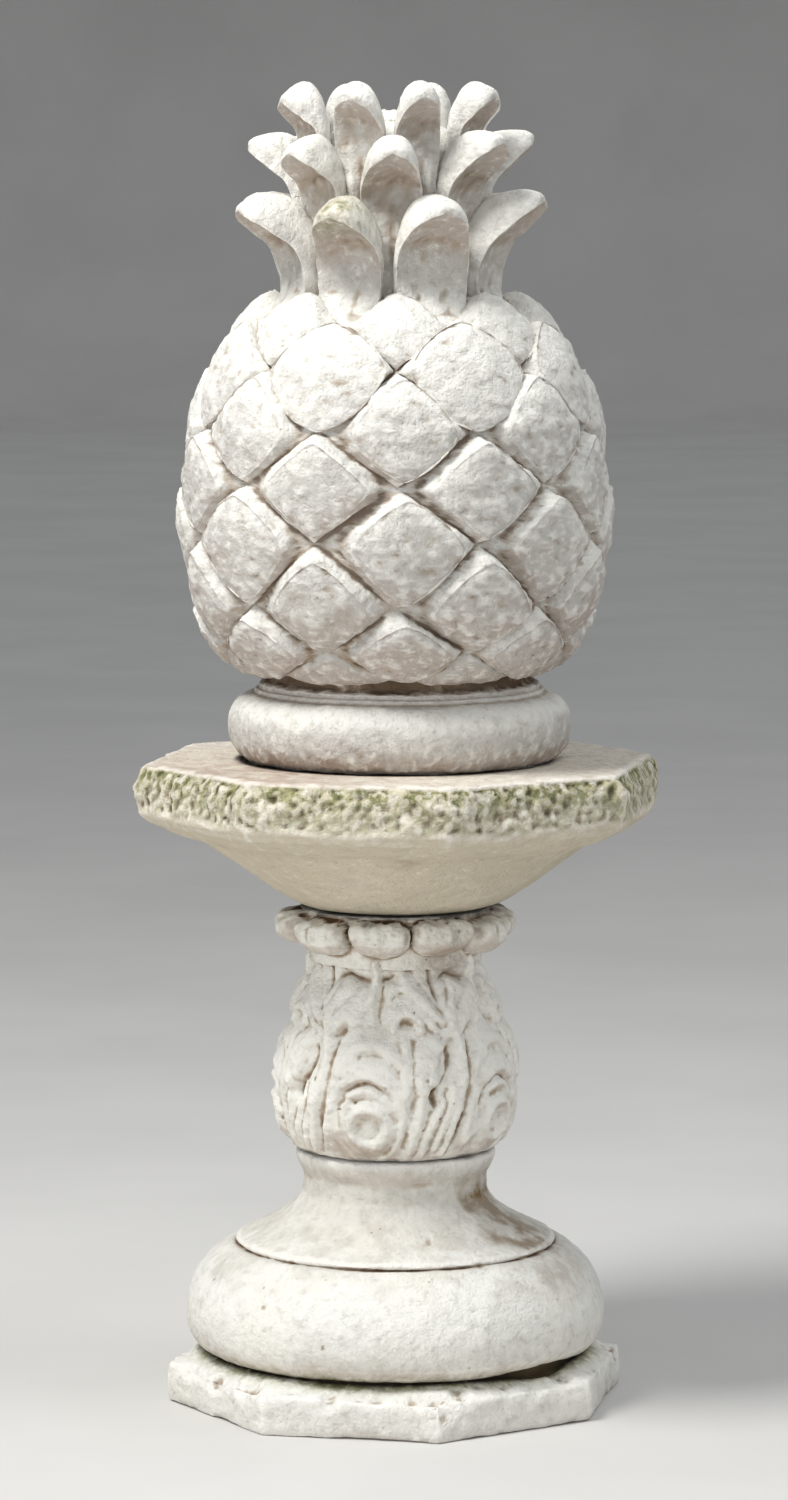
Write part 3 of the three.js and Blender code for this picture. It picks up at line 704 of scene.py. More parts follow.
def bulb_carving(azimuth, height):
    """The carving's relief on the plain bulb, and the depth of the creases cut into it."""
    along_ring = np.radians(turn_between(azimuth, LEAF_AZIMUTH)) * BULB_RADIUS
    high, deep = np.zeros_like(along_ring), np.zeros_like(along_ring)
    for leaf in range(BULB_LEAVES):
        across = along_ring - leaf * BULB_GIRTH / BULB_LEAVES
        across = (across + BULB_GIRTH / 2) % BULB_GIRTH - BULB_GIRTH / 2
        near = (across > CARVED_LEFT) & (across < CARVED_RIGHT)
        x, h = across[near], height[near]
        for proud, half, points in RIDGES:
            distance, along = stroke_distance(x, h, points)
            share = np.clip(1 - (distance / (half * RIDGE_BREADTH * swelling(along))) ** 2, 0, 1)
            high[near] = np.maximum(high[near], proud * RIDGE_HEIGHT * share ** 0.6)
        for depth, half, points in GROOVES:
            distance, along = stroke_distance(x, h, points)
            crease = GROOVE_DEPTH * depth * swelling(along) * hump(distance, half * GROOVE_BREADTH)
            deep[near] = np.maximum(deep[near], crease)
        high[near] = np.maximum(high[near], scroll_relief(x, h))
    ends = smooth(0.0, 7.0, height) * (1 - smooth(NECK_TOP + 8, NECK_TOP + 14, height))
    return (high - CARVED_DEPTH) * ends, deep * ends


def softened(relief, passes):
    """A relief on a grid of rings, averaged a number of times with its neighbours."""
    for _ in range(passes):
        relief = (2 * relief + np.roll(relief, 1, axis=1) + np.roll(relief, -1, axis=1)) / 4
        relief[1:-1] = (2 * relief[1:-1] + relief[:-2] + relief[2:]) / 4
    return relief


def scroll_relief(across, height):
    """The scroll at a leaf's foot: a broad ring about a hollow eye, with a lip on its right."""
    x, h = across - SCROLL_MIDDLE[0], height - SCROLL_MIDDLE[1]
    distance = np.hypot(x, h)
    turn = np.arctan2(h, x)
    ring = 6.2 * hump(distance - SCROLL_RADIUS - 1.2 * np.cos(turn - 0.8), 5.0)
    arcs = (2.2 + 1.2 * np.cos((distance - SCROLL_RADIUS) * 1.05)) * (1 - smooth(27.0, 33.0, distance))
    lip = 4.6 * hump(distance - 26.0, 3.0) * smooth(2.2, 1.2, np.abs(turn + 0.7))
    whole = np.maximum(np.maximum(ring, lip), arcs * smooth(12.0, 16.0, distance))
    return whole - 3.6 * hump(distance, 7.5)


def collar_lobe(azimuth, height):
    """Radius of the collar's rounded leaf tips, each one curling over the neck."""
    turns = turn_between(azimuth, TIP_AZIMUTH) / TIP_TURN
    number = np.round(turns)
    wobble = np.sin(number * 2.4)
    across = (turns - number) * 2 / (0.96 + 0.05 * wobble)
    rise = (height - NECK_TOP - COLLAR_HEIGHT * 0.56 - 1.5 * wobble) / (COLLAR_HEIGHT * 0.38)
    upper = smooth(-0.5, 0.5, rise)
    outline = np.abs(across) ** blend(2.6, 5.0, upper) + np.abs(rise) ** blend(2.2, 3.6, upper)
    bulge = np.clip(1 - outline, 0, 1) ** blend(0.65, 0.42, upper)
    flutes = 1.5 * np.cos(across * 9.0 + wobble) + 0.8 * np.cos(across * 17.0)
    behind = blend(NECK_RADIUS - 1.0, SEAT_RADIUS + 1.0, smooth(-1.2, 0.7, rise))
    behind -= 3.0 * smooth(0.2, 1.0, rise)
    return blend(behind, COLLAR_RADIUS + 1.0, bulge) + flutes * bulge * smooth(-0.7, 0.4, rise)


def baluster_mesh():
    bulb = np.linspace(0, COLLAR_START, BULB_ROWS)
    collar = np.linspace(COLLAR_START, NECK_TOP + COLLAR_HEIGHT, COLLAR_ROWS + 1)[1:]
    azimuth = np.arange(BULB_COLUMNS) * WHOLE_TURN / BULB_COLUMNS
    azimuth, rise = np.meshgrid(azimuth, np.concatenate([bulb, collar]))
    plain = np.where(rise < BULB_HEIGHT, bulb_line(rise), NECK_RADIUS)
    relief, deep = bulb_carving(azimuth.ravel(), rise.ravel())
    radius = plain + softened(relief.reshape(rise.shape), 2) - softened(deep.reshape(rise.shape), 1)
    radius = np.maximum(radius, np.where(rise > NECK_TOP - 3.0, collar_lobe(azimuth, rise), 0))
    rim = place(SEAT_RADIUS * 0.9, azimuth[-1:], BALUSTER_TOP)
    grid = np.concatenate([place(radius, azimuth, BALUSTER_FLOOR + rise), rim])
    shell = Shell().add_ring_grid(grid, (0, 0, BALUSTER_FLOOR), (0, 0, BALUSTER_TOP))
    return shell.mesh("baluster_casting")


def baluster_weather(points):
    height = points[:, 2]
    change = layered(points, (1.1, 20.0, 31), (0.6, 8.0, 32))
    change -= 1.3 * pits(points, 17.0, 3.2, 33)
    recess = smooth(COLLAR_HEIGHT * 0.7, COLLAR_HEIGHT * 0.95, height - BALUSTER_FLOOR - NECK_TOP)
    change -= recess * 2.4 * np.clip(rough(points, 9.0, 34) + 0.3, 0, 1)
    flat = smooth(BALUSTER_FLOOR, BALUSTER_FLOOR + 2.0, height)
    return change * flat * (1 - smooth(BALUSTER_TOP - 1.5, BALUSTER_TOP, height))


def baluster_marks(points):
    azimuth, height = azimuth_of(points), points[:, 2] - BALUSTER_FLOOR
    ragged = rough(points, 12.0, 35)
    # Dirt and painted shade: dark at the foot and in the recess under the slab
    soot_and_shade = 0.8 * (1 - smooth(0.5, 3.5, height + 2.5 * ragged))
    recess = smooth(COLLAR_HEIGHT - 4, COLLAR_HEIGHT - 1, height - NECK_TOP + 4.0 * ragged)
    # Stain and painted shade: brown between the collar's tips and on the ledge under the slab
    from_gap = np.abs((azimuth - TIP_AZIMUTH) % TIP_TURN - TIP_TURN / 2)
    between = 1 - smooth(3.0, 7.0, from_gap)
    between = between * smooth(COLLAR_HEIGHT * 0.3, COLLAR_HEIGHT * 0.7, height - NECK_TOP + 10.0 * ragged)
    soot_and_shade = np.maximum(soot_and_shade, 0.65 * recess)
    ledge = smooth(COLLAR_HEIGHT - 10, COLLAR_HEIGHT - 4, height - NECK_TOP + 6.0 * ragged)
    brown = soft_spots(azimuth, height, BALUSTER_SPOTS)
    return {"soot_and_shade": soot_and_shade, "stain_and_shade": np.max([brown, 0.6 * between, 0.75 * ledge], axis=0)}


# Pineapple

GROOVE_LEVELS = np.array([
    (0.51, 1.0), (0.69, 0.925), (0.83, 0.82), (0.95, 0.67), (0.99, 0.53),
    (1.0, 0.385), (0.945, 0.22), (0.86, 0.105), (0.76, 0.03), (0.6, 0.015),
]) * (FRUIT_RADIUS, FRUIT_HEIGHT) + (0, FRUIT_FLOOR)
LAST_LEVEL = len(GROOVE_LEVELS) - 1
LEVEL_STEP = 42.0
COLUMNS = BOSSES_AROUND * 2
WELD = 0.01
FACE_RINGS = [0.0, 0.13, 0.26, 0.39, 0.52, 0.65, 0.77, 0.88, 0.955, 1.0]
WALL_RINGS = [0.06, 0.16, 0.3, 0.5, 0.75, 1.0]
BOSS_BEVEL = 11.0
# A power of 1 makes a boss's face a diamond and 2 an ellipse; the upper rows are the rounder ones
FACE_POWER, UPPER_FACE_POWER = 1.26, 1.6
# A face's width and height at some groove levels, as shares of its diamond between the grooves
BOSS_WIDTHS = [(1, 0.62), (2, 0.84), (3, 0.64), (4, 0.67), (8, 0.67)]
BOSS_HEIGHTS = [(1, 0.8), (2, 0.96), (3, 0.84), (4, 0.83), (8, 0.83)]


def fruit_point(azimuth, height_level, proud):
    """Points proud of the grooves; the level counts the groove crossings down from the crown."""
    share = height_level / LAST_LEVEL
    middle = curve(GROOVE_LEVELS, share)
    step = 1e-3
    along = curve(GROOVE_LEVELS, share + step) - curve(GROOVE_LEVELS, share - step)
    along = along / np.linalg.norm(along, axis=-1, keepdims=True)
    return place(middle[..., 0] - along[..., 1] * proud, azimuth, middle[..., 1] + along[..., 0] * proud)


def boss_grid(height_level, column, chance):
    """One boss on a square grid that is turned to lie between four groove crossings.
    Returns the points and each point's column and level in the weave of grooves."""
    rings = len(FACE_RINGS) + len(WALL_RINGS) - 1
    steps = np.arange(-rings, rings + 1)
    right, left = np.meshgrid(steps, steps)
    ring = np.maximum(np.abs(right), np.abs(left))
    scale = np.where(ring == 0, 1, ring)
    across = (right + left) / scale / 2
    up = (right - left) / scale / 2
    size, squareness, lean_more, tilt, dome = chance
    upper = float(np.clip(3.6 - height_level, 0.0, 2.0)) / 2
    power = blend(FACE_POWER, UPPER_FACE_POWER, upper) + squareness
    face_width = np.interp(height_level, *zip(*BOSS_WIDTHS)) + size
    face_height = np.interp(height_level, *zip(*BOSS_HEIGHTS)) + size
    reach = ((np.abs(across) / face_width) ** power + (np.abs(up) / face_height) ** power) ** (1 / power)
    reach = np.where(ring == 0, 1, reach)
    turn = column * WHOLE_TURN / COLUMNS
    from_seam = math.sin(math.radians(turn - MOULD_SEAM))
    lean = BOSS_LEAN * float(np.clip(from_seam * 2.2, -1, 1)) * blend(1.0, 0.5, upper) + lean_more
    face_across, face_up = across / reach, up / reach
    last_face = len(FACE_RINGS) - 1
    on_face = np.interp(ring, np.arange(last_face + 1), FACE_RINGS)
    on_wall = np.interp(ring, last_face + np.arange(len(WALL_RINGS) + 1), [0.0, *WALL_RINGS])
    a = blend(face_across * on_face + lean, across, on_wall)
    b = blend(face_up * on_face - BOSS_DROP, up, on_wall)
    girth = curve(GROOVE_LEVELS, height_level / LAST_LEVEL)[0] * math.radians(WHOLE_TURN / COLUMNS)
    from_face = np.hypot((a - face_across - lean) * girth, (b - face_up + BOSS_DROP) * LEVEL_STEP)
    side_height = np.clip(1 - from_face / BOSS_BEVEL, 0, np.clip((1 - on_wall) * 3, 0, 1))
    side_height = np.where(on_wall > 0, side_height, 1.0)
    proud = blend(BOSS_PROUD_FOOT, BOSS_PROUD_TOP, (b + 1) / 2) + tilt * (a + b)
    crowned = 1 + (dome + 0.2 * upper) * (1 - on_face ** 2)
    crowned = crowned - 0.1 * smooth(0.85, 1.0, on_face) * (on_wall == 0)
    tucked = blend(0.35, 1.0, float(np.clip(LAST_LEVEL - 1 - height_level, 0, 1)))
    proud = proud * crowned * side_height * tucked
    azimuth = (column + a) * WHOLE_TURN / COLUMNS
    points = fruit_point(azimuth, height_level - b, proud)
    places = np.stack([(column + a) % COLUMNS, height_level - b], axis=-1)
    return points, places


def fruit_shell():
    """Staggered rings of bosses, welded along the grooves and closed inside the neck and crown."""
    rng = np.random.default_rng(7)
    shell = Shell()
    known = {}
    for height_level in range(1, LAST_LEVEL):
        for boss in range(BOSSES_AROUND):
            column = boss * 2 + (height_level + 1) % 2
            chance = rng.normal(0, 1, 5) * (0.016, 0.08, 0.018, 0.9, 0.05) + (0, 0, 0, 0, 0.17)
            points, places = boss_grid(height_level, column, chance)
            side = len(points)
            index = shell.add_points(points).reshape(side, side)
            border = np.zeros((side, side), bool)
            border[0, :] = border[-1, :] = border[:, 0] = border[:, -1] = True
            for i, j in zip(*np.nonzero(border)):
                key = (round(float(places[i, j, 0]), 3) % COLUMNS, round(float(places[i, j, 1]), 3))
                index[i, j] = known.setdefault(key, index[i, j])
            quads = np.stack([index[:-1, :-1], index[1:, :-1], index[1:, 1:], index[:-1, 1:]], axis=-1)
            shell.faces += quads.reshape(-1, 4).tolist()
    for end_level, first_boss, sign in ((0, 0, 1), (LAST_LEVEL, LAST_LEVEL % 2, -1)):
        rim = []
        for (column, height_level), index in sorted(known.items()):
            from_boss = abs((column + 1 + first_boss) % 2 - 1)
            if abs(abs(height_level - end_level) - from_boss) < WELD:
                rim.append(index)
        middle = int(shell.add_points([(0, 0, GROOVE_LEVELS[end_level][1])])[0])
        for a, b in zip(rim, rim[1:] + rim[:1]):
            shell.faces.append([a, b, middle][::sign])
    return shell


FOOT_COLUMNS = 260
# Steps outwards in millimetres and upwards in shares of the flange
FLANGE_STEPS = [
    (2.5, 0.02), (1.6, 0.12), (1.6, 0.42), (0.6, 0.52), (-1.4, 0.54), (-1.8, 0.64), (-1.8, 0.95),
]


def foot_shell():
    """The pineapple's round foot, with its flange and the neck that the fruit sits on."""
    flange_floor = PINEAPPLE_FLOOR + FOOT_HEIGHT
    neck_floor = flange_floor + FLANGE_HEIGHT
    reach = (FOOT_RADIUS - FOOT_SEAT_RADIUS) * 1.5
    middle = (FOOT_RADIUS - reach, PINEAPPLE_FLOOR + FOOT_MIDDLE)
    lower = ring_arc(middle, reach, FOOT_MIDDLE, -74, 0, 12, 0)
    upper = ring_arc(middle, reach, FOOT_HEIGHT - FOOT_MIDDLE, 0, 80, 11, 0)
    rows = path(
        (FOOT_SEAT_RADIUS * 0.8, PINEAPPLE_FLOOR, 0),
        (FOOT_SEAT_RADIUS, PINEAPPLE_FLOOR, 0),
        lower,
        upper[1:],
        stepped(FLANGE_RADIUS, flange_floor, FLANGE_HEIGHT, FLANGE_STEPS),
        (FLANGE_RADIUS - 3.2, neck_floor + 0.6, 0),
        (FRUIT_NECK_RADIUS + 6.5, neck_floor + 1.0, 0),
        (FRUIT_NECK_RADIUS + 4.0, neck_floor + 3.0, 0),
        (FRUIT_NECK_RADIUS + 4.0, FRUIT_FLOOR + FRUIT_HEIGHT * 0.04, 0),
        (FRUIT_NECK_RADIUS * 0.7, FRUIT_FLOOR + FRUIT_HEIGHT * 0.08, 0),
    )
    grid = octagon_rings(rows, FOOT_COLUMNS)
    grid[..., 0] += FOOT_SHIFT
    return Shell().add_ring_grid(grid, (0, 0, PINEAPPLE_FLOOR), (0, 0, rows[-1, 1]))


CORE_ROWS, CORE_COLUMNS, CORE_DEPTH = 30, 96, FRUIT_HEIGHT * 0.1


def core_shell():
    """The post in the crown's middle, from inside the fruit up to a low rough dome."""
    rise = np.linspace(0, 1, CORE_ROWS)
    widths = [CORE_RADIUS, CORE_RADIUS, CORE_TOP_RADIUS, CORE_TOP_RADIUS * 0.8, CORE_TOP_RADIUS * 0.2]
    radius = np.interp(rise, [0, 0.2, 0.86, 0.93, 1.0], widths)
    height = CROWN_FLOOR - CORE_DEPTH + (CORE_HEIGHT + CORE_DEPTH) * rise
    grid = place(radius[:, None], np.arange(CORE_COLUMNS) * WHOLE_TURN / CORE_COLUMNS, height[:, None])
    grid[..., 0] += CROWN_SHIFT
    uneven = rough(grid.reshape(-1, 3), 14.0, 50).reshape(grid.shape[:2])
    grid[..., 2] += 3.5 * uneven * smooth(0.75, 0.95, rise)[:, None]
    return Shell().add_ring_grid(grid, (CROWN_SHIFT, 0, height[0]), (CROWN_SHIFT, 0, height[-1]))


LEAF_RINGS, LEAF_SIDES = 34, 36
# Lines of a leaf's underside and back, as shares of its reach outwards and of its height upwards
LEAF_UNDER = [(0.02, 0.2), (0.2, 0.52), (0.6, 0.68), (1.02, 0.77)]
FLARED_FOOT = [(0.9, -0.3), (0.6, -0.14), (0.18, 0.0)]
PLAIN_FOOT = [(-0.1, -0.35), (-0.04, -0.15), (0.0, 0.0)]
LEAF_OVER = [
    (-0.4, -0.35), (-0.5, -0.14), (-0.5, 0.04), (-0.5, 0.3), (-0.35, 0.7), (0.2, 0.98), (0.98, 0.98),
]
# Widths and scoops along a leaf, from its foot (0) to its tip (1)
LEAF_WIDTHS = [(0, 0.9), (0.3, 0.84), (0.5, 0.98), (0.62, 1.0), (0.75, 0.9), (0.9, 0.8), (1.0, 0.76)]
LEAF_SCOOP = [(0, -1.6), (0.35, -1.2), (0.48, -0.1), (0.6, 0.8), (0.7, 1.0), (0.84, 0.6), (1.0, -0.2)]
HEAD_START, NOSE_START = 0.72, 0.7
LEAF_RIM = 3.2


def leaf_shell(tier, leaf, chance):
    """A crown leaf: an upright stem that curls outwards into a rounded head, scooped out beneath."""
    more_width, twist, more_hollow, tilt = chance
    azimuth = (leaf + tier["turn"]) * WHOLE_TURN / BOSSES_AROUND + tier["turns"][leaf]
    shares = 1 - (1 - np.linspace(0, 1, LEAF_RINGS + 1)[:-1]) ** 1.6
    foot = FLARED_FOOT if tier["flared"] else PLAIN_FOOT
    under, over = curve(foot + LEAF_UNDER, shares), curve(LEAF_OVER, shares)
    size = np.array([tier["reach"] + tier["reaches"][leaf], tier["tip"] - tier["foot"]], float)
    start, thickness = under * size, (over - under) * size
    depth = np.linalg.norm(thickness, axis=1, keepdims=True)
    inwards = thickness / depth
    head = np.clip((shares - HEAD_START) / (1 - HEAD_START), 0, 1)
    nose = np.clip((shares - NOSE_START) / (1 - NOSE_START), 0, 1)
    width = np.interp(shares, *zip(*LEAF_WIDTHS)) * np.sqrt(1 - head ** 4.0)
    width = width * tier["width"] / 2 * (1 + more_width)
    full = np.sqrt(1 - nose ** 2.6)
    scoop = tier["hollow"] * (1 + more_hollow) * np.interp(shares, *zip(*LEAF_SCOOP))
    around = np.arange(LEAF_SIDES) * 2 * np.pi / LEAF_SIDES
    cosine, sine = np.cos(around), np.sin(around)
    side = np.sign(cosine) * np.abs(cosine) ** 0.85
    back = depth * np.abs(sine) ** 0.9
    front = -LEAF_RIM * np.abs(sine) ** 0.4 * smooth(0, 0.3, shares)[:, None]
    front = front + (scoop[:, None] + LEAF_RIM) * (1 - np.abs(side) ** 2.4)
    on_back = (sine >= 0)[None, :]
    deep = np.where(on_back, back, front)
    deep = blend(depth * 0.45, deep, full[:, None])
    flute = np.cos(side * np.pi * 2.6 + azimuth) * 1.7 * (1 - smooth(0.35, 0.6, shares))[:, None]
    deep = deep + np.where(on_back, 0.0, flute * np.sqrt(np.clip(1 - side ** 2, 0, 1)))
    section = start[:, None, :] + inwards[:, None, :] * deep[..., None]
    out, up = section[..., 0], section[..., 1]
    sideways = width[:, None] * side + twist * smooth(0.5, 1.0, shares)[:, None]
    up = up - tier["droops"][leaf] * smooth(0.0, size[0], out)
    arch = smooth(0.45, 0.8, shares)[:, None] * tier["width"] * 0.035 * side ** 2
    up = up - arch + tilt * sideways * smooth(0.4, 0.9, shares)[:, None]
    turn = math.radians(azimuth)
    radius = tier["stem"] + out
    grid = np.stack([
        CROWN_SHIFT + radius * math.sin(turn) + sideways * math.cos(turn),
        -radius * math.cos(turn) + sideways * math.sin(turn),
        CROWN_FLOOR + tier["foot"] + up,
    ], axis=-1)
    return Shell().add_ring_grid(grid, grid[0].mean(axis=0), grid[-1].mean(axis=0))


def pineapple_mesh():
    rng = np.random.default_rng(3)
    shells = [fruit_shell(), foot_shell(), core_shell()]
    for tier in CROWN_TIERS:
        for leaf in range(BOSSES_AROUND):
            chance = rng.normal(0, 1, 4) * (0.05, 1.5, 0.15, 0.09)
            shells.append(leaf_shell(tier, leaf, chance))
    return joined("pineapple_casting", shells)


def pineapple_weather(points):
    height = points[:, 2]
    on_foot = 1 - smooth(FRUIT_FLOOR - 8, FRUIT_FLOOR - 4, height)
    on_crown = smooth(CROWN_FLOOR + 4, CROWN_FLOOR + 12, height)
    on_fruit = (1 - on_foot) * (1 - on_crown)
    change = layered(points, (0.5, 30.0, 41), (0.3, 7.0, 42))
    change += on_fruit * layered(points, (0.9, 14.0, 43), (0.75, 7.0, 44, 2))
    change += on_crown * layered(points, (0.55, 14.0, 45), (0.25, 5.0, 46))
    change -= 0.9 * pits(points, 22.0, 3.0, 47)
    lower_foot = on_foot * (1 - smooth(PINEAPPLE_FLOOR + 14, PINEAPPLE_FLOOR + 26, height))
    change += lower_foot * 1.2 * rough(points, 9.0, 48)
    return change * smooth(PINEAPPLE_FLOOR, PINEAPPLE_FLOOR + 2.0, height)


def pineapple_marks(points):
    height, radius = points[:, 2], radius_of(points)
    # Dirt and painted shade along the foot's lowest edge; browner in a band at the neck under the fruit and
    # on the foot's lower part
    soot_and_shade = 1 - smooth(PINEAPPLE_FLOOR, PINEAPPLE_FLOOR + 3.0, height)
    neck = hump(height - FRUIT_FLOOR - 2.0, 9.0) * (1 - smooth(FLANGE_RADIUS, FLANGE_RADIUS + 14, radius))
    uneven = height - PINEAPPLE_FLOOR + 6.0 * rough(points, 30.0, 49)
    stain_and_shade = np.maximum(0.9 * neck, 0.55 * (1 - smooth(4, 20, uneven)))
    moss = hump(np.linalg.norm(points - place(112.0, -23.0, CROWN_FLOOR + 74), axis=1), 26.0)
    above = height - CROWN_FLOOR
    # Less dirt and painted shade in the hollows higher up the fruit and on the crown
    less_dirt_and_shade = smooth(FRUIT_FLOOR + 20, FRUIT_FLOOR + 60, height) + smooth(0, 12, above)
    less_dirt_and_shade += 3.0 * hump(above - 8.0, 30.0)
    return {"soot_and_shade": soot_and_shade, "stain_and_shade": stain_and_shade, "moss": moss, "less_dirt_and_shade": less_dirt_and_shade}


# Materials

class Nodes:
    """A few short words for building a material's nodes."""

    def __init__(self, name):
        self.material = bpy.data.materials.new(name)
        self.material.use_nodes = True
        self.tree = self.material.node_tree
        self.tree.nodes.clear()
        self.spot = self.new("ShaderNodeTexCoord").outputs["Object"]

    def new(self, kind, inputs=(), **settings):
        """A node with its settings, and with a number, colour or link for each named input."""
        node = self.tree.nodes.new(kind)
        for name, value in settings.items():
            setattr(node, name, value)
        for name, value in dict(inputs).items():
            self.link(value, node.inputs[name])
        return node

    def link(self, value, socket):
        if isinstance(value, bpy.types.NodeSocket):
            self.tree.links.new(value, socket)
        else:
            socket.default_value = value

    def speckle(self, size, detail, roughness=0.55):
        """Noise from 0 to 1 with spots of a size in millimetres."""
        inputs = {"Vector": self.spot, "Scale": 1 / (size * MM), "Detail": detail, "Roughness": roughness}
        return self.new("ShaderNodeTexNoise", inputs).outputs["Fac"]

    def grains(self, size):
        """Distance from the middles of scattered grains, with cells of a size in millimetres."""
        inputs = {"Vector": self.spot, "Scale": 1 / (size * MM)}
        return self.new("ShaderNodeTexVoronoi", inputs).outputs["Distance"]

    def fact(self, name):
        return self.new("ShaderNodeAttribute", attribute_name=name).outputs["Fac"]

    def plus(self, first, second):
        return self.new("ShaderNodeMath", {0: first, 1: second}, operation="ADD").outputs[0]

    def times(self, first, second):
        return self.new("ShaderNodeMath", {0: first, 1: second}, operation="MULTIPLY").outputs[0]

    def ramp(self, value, start, end, low=0.0, high=1.0):
        """A smooth change from low to high while the value goes from start to end."""
        inputs = {"Value": value, "From Min": start, "From Max": end, "To Min": low, "To Max": high}
        return self.new("ShaderNodeMapRange", inputs, interpolation_type="SMOOTHSTEP").outputs["Result"]

    def mix(self, share, first, second):
        """The first colour with a share of the second one."""
        first, second = [(*c, 1.0) if isinstance(c, tuple) else c for c in (first, second)]
        return self.new("ShaderNodeMix", {0: share, 6: first, 7: second}, data_type="RGBA").outputs[2]

    def cover(self, colour, tone, value, start, end, most=1.0):
        """Covers a colour with a tone, from none of it at the start to the most of it at the end."""
        return self.mix(self.ramp(value, start, end, 0.0, most), colour, tone)

    def finish(self, colour, roughness, heights):
        """Heights are pairs of a relief from 0 to 1 and its depth in millimetres."""
        normal = {}
        for relief, depth in heights:
            bump = {"Strength": 1.0, "Distance": depth * MM, "Height": relief, **normal}
            normal = {"Normal": self.new("ShaderNodeBump", bump).outputs["Normal"]}
        surface = {"Base Color": colour, "Roughness": roughness, "Specular IOR Level": 0.25, **normal}
        shader = self.new("ShaderNodeBsdfPrincipled", surface)
        self.new("ShaderNodeOutputMaterial", {"Surface": shader.outputs[0]})
        return self.material


def linear(hex_colour):
    """Linear colour from a usual hex one."""
    values = [int(hex_colour[i:i + 2], 16) / 255 for i in (0, 2, 4)]
    return tuple(v / 12.92 if v <= 0.04045 else ((v + 0.055) / 1.055) ** 2.4 for v in values)


WHITE, CREAM, GREY, ASH = linear("f4f1ea"), linear("e6dccb"), linear("c9c4bd"), linear("a9a198")
PINK_BROWN, TAN, BROWN, DARK = linear("ae9888"), linear("a5927b"), linear("5c4632"), linear("231b14")
MOSS, MOSS_SHADE, LICHEN = linear("77794f"), linear("403f2a"), linear("aba67e")


